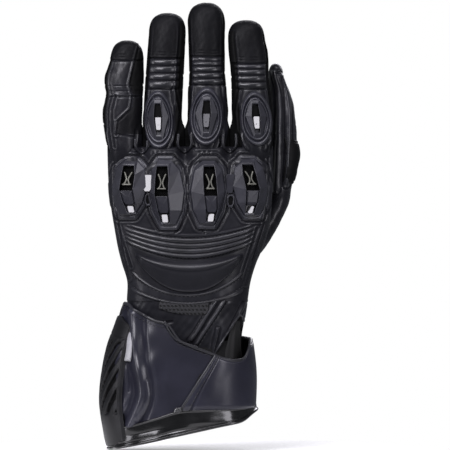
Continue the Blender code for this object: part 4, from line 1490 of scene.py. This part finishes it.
def guards():
    """Padded oval on three fingers, with two rolled rims, and a faceted insert in its middle."""
    turn = np.linspace(0, TURN, 96, endpoint=False)
    cosine, sine = np.cos(turn), np.sin(turn)
    across = np.sign(cosine) * np.abs(cosine) ** 0.98
    up = np.sign(sine) * np.abs(sine) ** 0.92
    oval = np.stack([across * (1 - 0.10 * up**2 - 0.06 * up), up], axis=1)
    share = np.linspace(1.0, 0.42, 46)
    lift = smooth(
        share,
        [0.42, 0.60, 0.66, 0.71, 0.755, 0.79, 0.83, 0.885, 0.94, 0.975, 1.0],
        [0.7, 0.8, 1.2, 2.3, 1.9, 0.8, 1.7, 2.4, 1.6, 0.4, -0.7],
    )
    for name, finger in FINGERS.items():
        if not finger.guard:
            continue

        def surface(x, z, shape=TUBES[name]):
            return back_of(shape, x, z)

        rings = [(oval, s, h) for s, h in zip(share, lift)]
        named = f"{name}_guard"
        pad = stepped(f"{named}_pad", finger.guard, rings, surface, GUARD_PAD, flat=False)
        settled(pad, f"{name}_lower", "leather", f"{named}_rim")
        x, z, half_x, half_z, lean = finger.guard
        place = (x, z + 0.5, half_x * 0.70, half_z * 0.74, lean)
        shell = facets(
            f"{named}_shell", place, surface, GUARD_CORNERS, GUARD_CHANNEL,
            both([1.8, 2.2, 1.7]), both([2.9, 3.7, 2.6]), 1.0, skirt=0.05,
        )
        settled(shell, f"{name}_lower", "armour", f"{named}_insert")
        outline = mirrored([(0.25, 0.66), (0.34, 0.16), (0.30, 0.02)])
        slot = pit(f"{named}_slot", place, outline, ((1.0, 0.5), (0.97, 1.25)), surface)
        settled(slot, f"{name}_lower", "vent_mesh")
        plate = slab(
            f"{named}_plate", place, surface, PLATE if name == "middle" else GLOSS,
            [(0.30, 0.10), (0.32, 0.04), (0.24, -0.44), (0.18, -0.5)], 0.8, 2.7,
            inset=0.86, tilt=TAB_TILT,
        )
        settled(plate, f"{name}_lower", "gloss_insert")
        below = (x - 0.32 * lean, z - 0.30 * half_z * 0.70, 0.75, 1.1, 0)
        outline = mirrored([(0.7, 1), (1, 0), (0.6, -1)])
        hole = pit(f"{named}_hole", below, outline, ((1.0, 2.2), (0.9, 3.0)), surface)
        settled(hole, f"{name}_lower", "vent_mesh")


def crotch_rims():
    """Rolled edges of the slots between the fingers' roots, in two halves, one beside each finger.
    """
    for name, pair, path in (
        (
            "outer", ("little", "ring"),
            [(-33.6, 210.5), (-33.2, 204.6), (-29.4, 201.0), (-25.8, 204.0), (-25.4, 209.5)],
        ),
        (
            "middle", ("ring", "middle"),
            [(-4.4, 214.0), (-4.0, 205.0), (-0.1, 201.7), (3.8, 205.0), (4.2, 214.0)],
        ),
        (
            "inner", ("middle", "index"),
            [(26.2, 214.0), (26.6, 205.0), (30.3, 201.7), (34.1, 205.0), (34.6, 214.0)],
        ),
    ):
        x, z = curve_through(path, 0.5).T
        beside = np.minimum(*[back_of(TUBES[finger], x, z) for finger in pair])
        low = hand_back(x, np.minimum(z, 202.6)) - 0.5
        y = np.minimum(low, low + (beside - 0.2 - low) * ease(z, 203, 207))
        laid = points_of(x, y, z)
        foot = np.argmin(z)
        for finger, half in zip(pair, (laid[: foot + 1], laid[foot:])):
            rim = sweep(f"crotch_rim_{name}_{finger}", half, 0.95, SUPPLE)
            bending(rim, ("hand", f"{finger}_lower"), upright(201, 207.5), "leather")


def thumb():
    """Thumb, its root running down into the heel of the hand, with ridges along it and a pad."""
    ridges = (
        curve_through([(60.8, 257), (63.4, 247), (64.2, 232), (63.8, 214), (62.0, 176)], 4.0),
        curve_through([(65.2, 254), (68.8, 243), (70.4, 228), (70.4, 208), (69.0, 180)], 4.0),
    )
    for part, low, high in (("root", 126.5, 214.4), ("end", 213.4, None)):
        grid = finger_grid("thumb", low, high, 210)
        x, y, z = xyz(grid)
        normal = normals_of(grid, wrap=True)
        facing = ease(-normal[..., 1], -0.25, 0.2) * (1 - ease(z, 256, 261))
        relief = 0.2 * crumple(x, y, z, 15, 51) + 0.06 * crumple(x, y, z, 5, 52)
        for path in ridges:
            welt = seam(away_from(x, z, path), 1.5, 2.7, -0.5, 3.1, 0.9)
            relief += facing * welt * ease(z, 150, 190)
        folds = hump(z, 221, 1.3) + hump(z, 183, 1.2) + 0.7 * hump(z, 226, 1.0)
        relief -= 0.5 * (1 - facing) * folds
        if part == "end":
            relief -= 0.5 * (1 - ease(z, low, low + 1.2))
        kinds = (normal[..., 1] > 0.35)[:-1].astype(int)
        piece = skin_of(f"thumb_{part}", grid, relief, [RIBBED, PALM_LEATHER], True, kinds)
        if part == "root":
            nodes = ("thumb_stall", "thumb_accordion")
            bending(piece, ("hand", "thumb_lower"), upright(157, 177), "leather", *nodes)
        else:
            zone = upright(214.5, 230)
            bending(closed(piece), ("thumb_lower", "thumb_upper"), zone, "leather", "thumb_tip")

    def low(x, y):
        return 180 - 0.1 * (y - 20)

    def high(x, y):
        return 212.5 - 0.2 * (x - 66)

    columns, rows = 90, 70
    grid = between(THUMB, even_angles(THUMB, 195, 274, 371, columns), low, high, rows)
    u, t = crossed(columns, rows)
    lift = 2.2 * bordered(u, t, 5, 5) - 0.4
    border = hump(np.abs(u), 0.82, 0.06) + hump(np.abs(t), 0.86, 0.05)
    lift -= 0.5 * border * (np.abs(u) < 0.88) * (np.abs(t) < 0.91)
    lift += 0.12 * crumple(*xyz(grid), 6, 53)
    pad = closed(sheet_of("thumb_pad", cushion(grid, lift, -0.6), DARK_PAD))
    settled(pad, "thumb_lower", "suede", "thumb_patch")


# ---------------------------------------------------------------- cuff


def hem(x, y):
    """The cuff's lower edge, rising towards the thumb."""
    return 11.5 + 0.215 * x + 6.0 * ease(x, 33, 49) ** 1.4


def band_top(x, y):
    """Upper edge of the glossy hem band: it climbs to the flap's corner on the back."""
    back = smooth(x, [-56, -41, -20, -4, 12, 30, 46], [13.5, 16.6, 22.5, 27.4, 28.0, 28.3, 29.0])
    share = ease(-y, -2, 10)
    return back * share + (hem(x, y) + 10) * (1 - share)


def cuff_rim(x, y):
    """The cuff's upper edge: high at the little finger, a scoop on the back, level on the palm."""
    across = [-47, -41, -33, -20, -11, -4, 4, 17, 27, 35, 41, 45.5]
    back = smooth(x, across, [97, 99.5, 94.5, 87.6, 84.5, 75, 71, 66, 62, 60.8, 63.4, 72])
    palm = 80 - 0.12 * x
    share = ease(-y, -4, 12)
    return back * share + palm * (1 - share)


def cuff_back(x, z):
    """y of the cuff's back."""
    return back_of(CUFF, x, z)


def cuff():
    """Gauntlet: coated leather above a glossy hem, with rolled edges and stitching."""
    angles = even_angles(CUFF, 45, 0, 360, 401)[:-1]
    rows = 44
    band = between(CUFF, angles, hem, band_top, rows)
    t = np.linspace(0, 1, rows)[:, None] + 0 * angles
    x, y, z = xyz(band)
    lift = 0.9 * roll(t, 0.45, 0.55) ** 0.6 - 0.5 * hump(t, 0.2, 0.06) + 0.5 * hump(t, 0.94, 0.06)
    lift += 0.4 * crumple(x, y, z, 15, 61)
    lift += 1.3 * ease(x, 14, 42) * ease(-y, -12, 6) * (1 - t)
    # the hem flares at the little finger's side of the back, and bulges towards the thumb
    back = ease(-y, 0, 10)
    flare = 0.42 * np.maximum(7.0 - (z - hem(x, y)), 0)
    lift += flare * ease(-x, 6, 20) * ease(x, -48, -42) * back
    lift += 0.9 * hump(z, 19.5, 5.0) * ease(x, -6, 16) * back
    shape = lifted(band, lift, wrap=True)
    skin = walled(sheet_of("hem_band", shape, PATENT, wrap=True), 1.6)
    settled(skin, "cuff", "patent", "hem_binding")
    edge, radial = shape[0] + (0, 0, 0.5), band[0] * (1, 1, 0)
    piping = sweep("hem_piping", edge, 1.05, PATENT, facing=radial, sides=12, ring=True)
    settled(piping, "cuff", "patent")

    grid = between(CUFF, angles, lambda x, y: band_top(x, y) - 1.6, cuff_rim, 116)
    x, y, z = xyz(grid)
    back = ease(-y, 4, 14)
    relief = 0.45 * crumple(x, y, z, 38, 62) + 0.14 * crumple(x, y, z, 12, 63)
    fold = [(-34.4, 92), (-33.2, 76), (-32.0, 62), (-29.2, 48), (-28.4, 37), (-31.5, 27), (-37, 17)]
    away = away_from(x, z, curve_through(fold, 2.5))
    relief += back * seam(away, 2.6, 5.6, -0.9, 6.6, 3.0)
    pleat = curve_through([(-24.5, 46), (-23.6, 37), (-26.5, 28), (-31, 22)], 2.5)
    relief += back * 0.9 * hump(away_from(x, z, pleat), 0, 3.0)
    relief += 0.9 * back * crumple(x, y, z, 24, 64) * ease(-x, 12, 30)
    for path in (
        [(-12.9, 84), (-8.5, 79), (-5.4, 73.5), (3.4, 70), (14, 66)],
        [(-36.5, 78), (-37.5, 60), (-38, 40)],
    ):
        relief -= back * 0.45 * hump(away_from(x, z, path), 0, 0.9)
    relief -= (1 - back) * 0.6 * hump(np.abs(x + 4) - 30, 0, 1.0)
    kinds = np.where(x > 41.5, 2, (y > 0).astype(int))[:-1]
    skin = skin_of("cuff_leather", grid, relief, [COATED, PALM_LEATHER, SUPPLE], True, kinds)
    settled(walled(skin, 1.5), "cuff", "coated_leather", "cuff_back", "cuff_gusset", "cuff_palm")
    rim = lifted(grid, relief, wrap=True)[-1]
    radial = rim * (1, 1, 0)
    piping = sweep("cuff_rim_piping", rim, 1.05, SUPPLE, facing=radial, ring=True)
    settled(piping, "cuff", "coated_leather")
    scoop = [(-13.5, 87.5), (-10.5, 81), (-6.0, 75.5), (0.5, 72.4), (9, 70)]
    laid = on_back(scoop, cuff_back, 0.4)
    settled(sweep("cuff_scoop_piping", laid, 0.75, SUPPLE), "cuff", "coated_leather")
    lower = lifted(grid, relief + 0.15, wrap=True)[-6]
    row = stitches("cuff_rim_stitches", lower, facing=radial, radius=0.27)
    settled(row, "cuff", "coated_leather")


def ulnar():
    """Hard guard on the little-finger side, grooved on the slant with painted shade in the grooves,
    and a glossy strip beside it painted pale as its highlight.
    """
    columns, rows = 180, 170

    def low(x, y):
        return hem(x, y) + 2.0

    def high(x, y):
        return 90.5 - 0.55 * np.maximum(-y - 12, 0)

    grid = between(CUFF, even_angles(CUFF, 50, 152, 229, columns), low, high, rows)
    x, y, z = xyz(grid)
    around = lengths_along(grid[60])
    u, t = crossed(columns, rows)
    slant = (z - 1.5 * around) / 13.5
    part = slant - np.floor(slant)
    field = ease(0.86 - np.abs(u), 0, 0.04) * ease(z, 24, 27) * (1 - ease(z, 71, 75))
    groove = field * (ease(part, 0.0, 0.10) - ease(part, 0.46, 0.56))
    lift = 2.6 - 2.2 * groove
    lift += 0.5 * hump(np.abs(u), 0.93, 0.05)
    lift -= 0.6 * hump(z, 80 - 0.1 * around, 1.0) * (np.abs(u) < 0.9)
    lift += 0.12 * crumple(x, y, z, 22, 71)
    lift *= roll(np.maximum(np.abs(u), np.abs(t)), 0, 1.001) ** 0.25
    # Deep groove floors take the near-black finish: painted shade in the grooves.
    dark = np.concatenate([groove > 0.55, 0 * z > 1])[:, :-1].astype(int)
    shell = cushion(grid, lift, -0.5)
    guard = closed(sheet_of("ulnar_shell", shell, [ULNAR, MESH_AND_PIT_SHADE], kinds=dark))
    settled(guard, "cuff", "armour", "ulnar_guard")
    u, t = crossed(16, 50)
    x = -37.4 + 2.1 * u * (1 - 0.2 * t) - 0.9 * t**2 + 0.4 * t
    z = 70.6 + 10.2 * t
    y = cuff_back(x, z) - 1.4 - 1.9 * bordered(u, t, 8, 8) - 0.35 * u
    # The strip is painted pale: its highlight is painted.
    strip = sheet_of("ulnar_gloss_strip", points_of(x, y, z), STRIP_HIGHLIGHT)
    settled(walled(strip, 1.2), "cuff", "gloss_insert")


def back_angle(shape, x, z):
    """Angle of the point across a tube's back at x."""
    centre, _, half, _ = section(shape, z)
    u = np.clip((x - centre) / half, -1, 1)
    return TURN - np.arccos(np.sign(u) * np.abs(u) ** (shape.power / 2))


FLAP_HINGE = ((48, 2.0, 45), (46.5, -8.5, 45))


def flap():
    """Closing flap: from its slanted free edge on the back round to its hinge on the thumb side."""
    s, t = crossed(190, 110, 0)
    z = 27.0 + 36 * t + 0 * s
    for _ in range(12):
        free = -3.6 + (z - 26.5) * (22.6 / 36.0)
        start = back_angle(CUFF, free, z)
        angle = start + (math.radians(364) - start) * s
        x, y = wall(CUFF, angle, z, 1.6)
        low = 26.4 + 1.4 * ease(x, 20, 44)
        high = np.maximum(cuff_rim(x[-1:], y[-1:]) - 1.2 * s - 0.2, 55)
        z = 0.4 * z + 0.6 * (low + (high - low) * t)
    grid = points_of(x, y, z)
    rim = np.minimum(np.minimum(s, 1 - s) * 14, np.minimum(t, 1 - t) * 8)
    relief = 0.9 * roll(np.clip(rim, 0, 0.25), 0.25, 0.2501) - 0.9 + 0.3 * crumple(x, y, z, 30, 81)
    relief -= 0.35 * hump(np.minimum(s * 60, 9), 3.2, 0.9) + 1.1 * (1 - ease(z, 26.5, 32)) ** 2
    relief += 0.5 * hump(away_from(x, z, [(24, 58), (18, 48), (16, 38)]), 0, 9.0)
    skin = walled(skin_of("flap_leather", grid, relief, COATED), 1.3)
    bending(skin, ("cuff", "cuff_flap"), FLAP_HINGE, "coated_leather", "cuff_flap")
    body = lifted(grid, relief)
    piping = sweep("flap_edge_piping", body[:, 0] + (0, -0.1, 0), 1.05, SUPPLE)
    settled(piping, "cuff_flap", "coated_leather")
    piping = sweep("flap_top_piping", body[-1] + (0, 0.2, 0), 0.8, SUPPLE)
    bending(piping, ("cuff", "cuff_flap"), FLAP_HINGE, "coated_leather")
    row = stitches("flap_edge_stitches", body[2:-3, 8], radius=0.28, off=0.2)
    settled(row, "cuff_flap", "coated_leather")
    corner = (-4.4, 27.6, 2.7, 1.9, 0.8)
    corners = [(0.5, 1.0), (1.0, 0.4), (0.9, -0.6), (0.4, -1.0)]
    tab = slab("flap_corner", corner, cuff_back, GLOSS, corners, 1.0, 2.7, tilt=(15.0, 4.0))
    settled(tab, "cuff_flap", "gloss_insert")
    for name, off, x_low, x_high, rides, node in (
        ("flap_hook_tape", 0.95, 6.0, 30.0, "cuff_flap", "cuff_hook_patch"),
        ("cuff_loop_tape", 0.55, 2.0, 34.0, "cuff", "cuff_loop_patch"),
    ):
        z_low, z_high = 33.5, 52.0
        x, z = np.meshgrid(np.linspace(x_low, x_high, 60), np.linspace(z_low, z_high, 44))
        x = x + (z - z_low) * 0.45 * (1 - (x - x_low) / (x_high - x_low))
        tape = sheet_of(name, points_of(x, cuff_back(x, z) - off, z), HOOKS)
        modified(tape, "SOLIDIFY", thickness=0.3 * MM, offset=-1.0)
        settled(tape, rides, "hook_tape", node)


def inside():
    """Lining of the cuff and the fabric tongue that shows in its mouth."""
    angles = even_angles(LINING, 40, 0, 360, 221)[:-1]
    grid = between(LINING, angles, lambda x, y: hem(x, y) + 3.0, 74.0, 80)
    x, y, z = xyz(grid)
    cloth = lifted(grid, 0.5 * crumple(x, y, z, 20, 91) - 0.4, wrap=True)
    lining = sheet_of("lining_sleeve", cloth, LINING_CLOTH, wrap=True)
    settled(lining, "cuff", "fabric", "cuff_lining")

    s = np.linspace(-1, 1, 60)[None, :]
    t = np.linspace(0, 1, 90)[:, None]
    z = 59.0 + 28.5 * t
    x = 31.9 + 3.0 * t + (6.4 - 4.2 * t**1.2) * s
    folds = 1.3 * np.cos(s * 3.0) + 0.5 * np.sin(s * 7 + 2.0 * t)
    y = back_of(ARM, x, z) - 1.2 - folds * (1 - 0.6 * t) + 2.2 * t
    tongue = sheet_of("tongue_strip", points_of(x, y, z), TONGUE_CLOTH)
    modified(tongue, "SOLIDIFY", thickness=0.5 * MM, offset=-1.0)
    settled(tongue, "cuff", "fabric", "wrist_tongue")


STRAP_HINGE = ((44, 3.0, 94), (40.5, 12.5, 94))


def strap():
    """Wrist strap over the palm side, with a sewn border."""
    columns, rows = 170, 36
    grid = between(ARM, even_angles(ARM, 94, 5, 158, columns), 86.4, 101.6, rows)
    u, t = crossed(columns, rows)
    lift = 0.3 + (1.9 + 0.9 * bordered(u, t, 24, 8)) * ease(u, -1, -0.66)
    lift = lift - 0.35 * hump(np.abs(t), 0.72, 0.09) + 0.1 * crumple(*xyz(grid), 12, 95)
    skin = walled(skin_of("strap_leather", grid, lift, COATED), 1.4)
    bending(skin, ("cuff", "wrist_strap"), STRAP_HINGE, "coated_leather", "wrist_strap")
    for edge, row in (("low", 5), ("high", 30)):
        path = lifted(grid, lift + 0.1)[row, 5:-5]
        name = f"wrist_strap_stitches_{edge}"
        sewn = stitches(name, path, facing=path * (1, 2, 0), radius=0.26)
        bending(sewn, ("cuff", "wrist_strap"), STRAP_HINGE, "coated_leather")


def palm_side():
    """Hard slider on the heel of the hand, and the suede patch across the palm."""
    turn = np.linspace(0, TURN, 72, endpoint=False)
    oval = np.stack([np.cos(turn), np.sin(turn)], axis=1)
    centre_z = 143.0
    place = (-28.0, centre_z, 14.0, 15.0, 0.0)
    top = np.linspace(0.73, 0.0, 26)
    share = [1.0, 1.0, 0.985, 0.95, 0.88, 0.84, 0.80, 0.78, 0.74, *top]
    level = [22.2, 24.2, 24.8, 25.1, 25.2, 25.3, 26.4, 26.9, 27.2, *(27.3 + 0 * top)]
    points = []
    for scale, height in zip(share, level):
        x, z = placed(oval * scale, place).T
        grooves = 0.55 * hump((z - centre_z) % 4.4, 2.2, 0.8) * (scale < 0.68)
        points.append(points_of(x, height - grooves, z))
    slider = closed(sheet_of("heel_slider", np.stack(points), HARD, wrap=True))
    settled(slider, "hand", "slider", "palm_slider")

    columns, rows = 130, 70
    grid = between(ARM, even_angles(ARM, 176, 74, 146, columns), 162.5, 189.5, rows)
    u, t = crossed(columns, rows)
    border = hump(np.maximum(np.abs(u), np.abs(t)), 0.9, 0.03)
    lift = -0.2 + 1.1 * bordered(u, t, 16, 14) - 0.25 * border
    lift += 0.12 * crumple(*xyz(grid), 12, 97)
    patch = walled(sheet_of("palm_suede_patch", lifted(grid, lift), SUEDE), 0.9)
    settled(patch, "hand", "suede", "palm_patch")


for piece in (
    studio, hand, wrist, wrist_pad, wrist_band, wrist_patch, hand_stitching, knuckles, bridges,
    fingers, guards, crotch_rims, thumb, cuff, ulnar, flap, inside, strap, palm_side,
):
    piece()
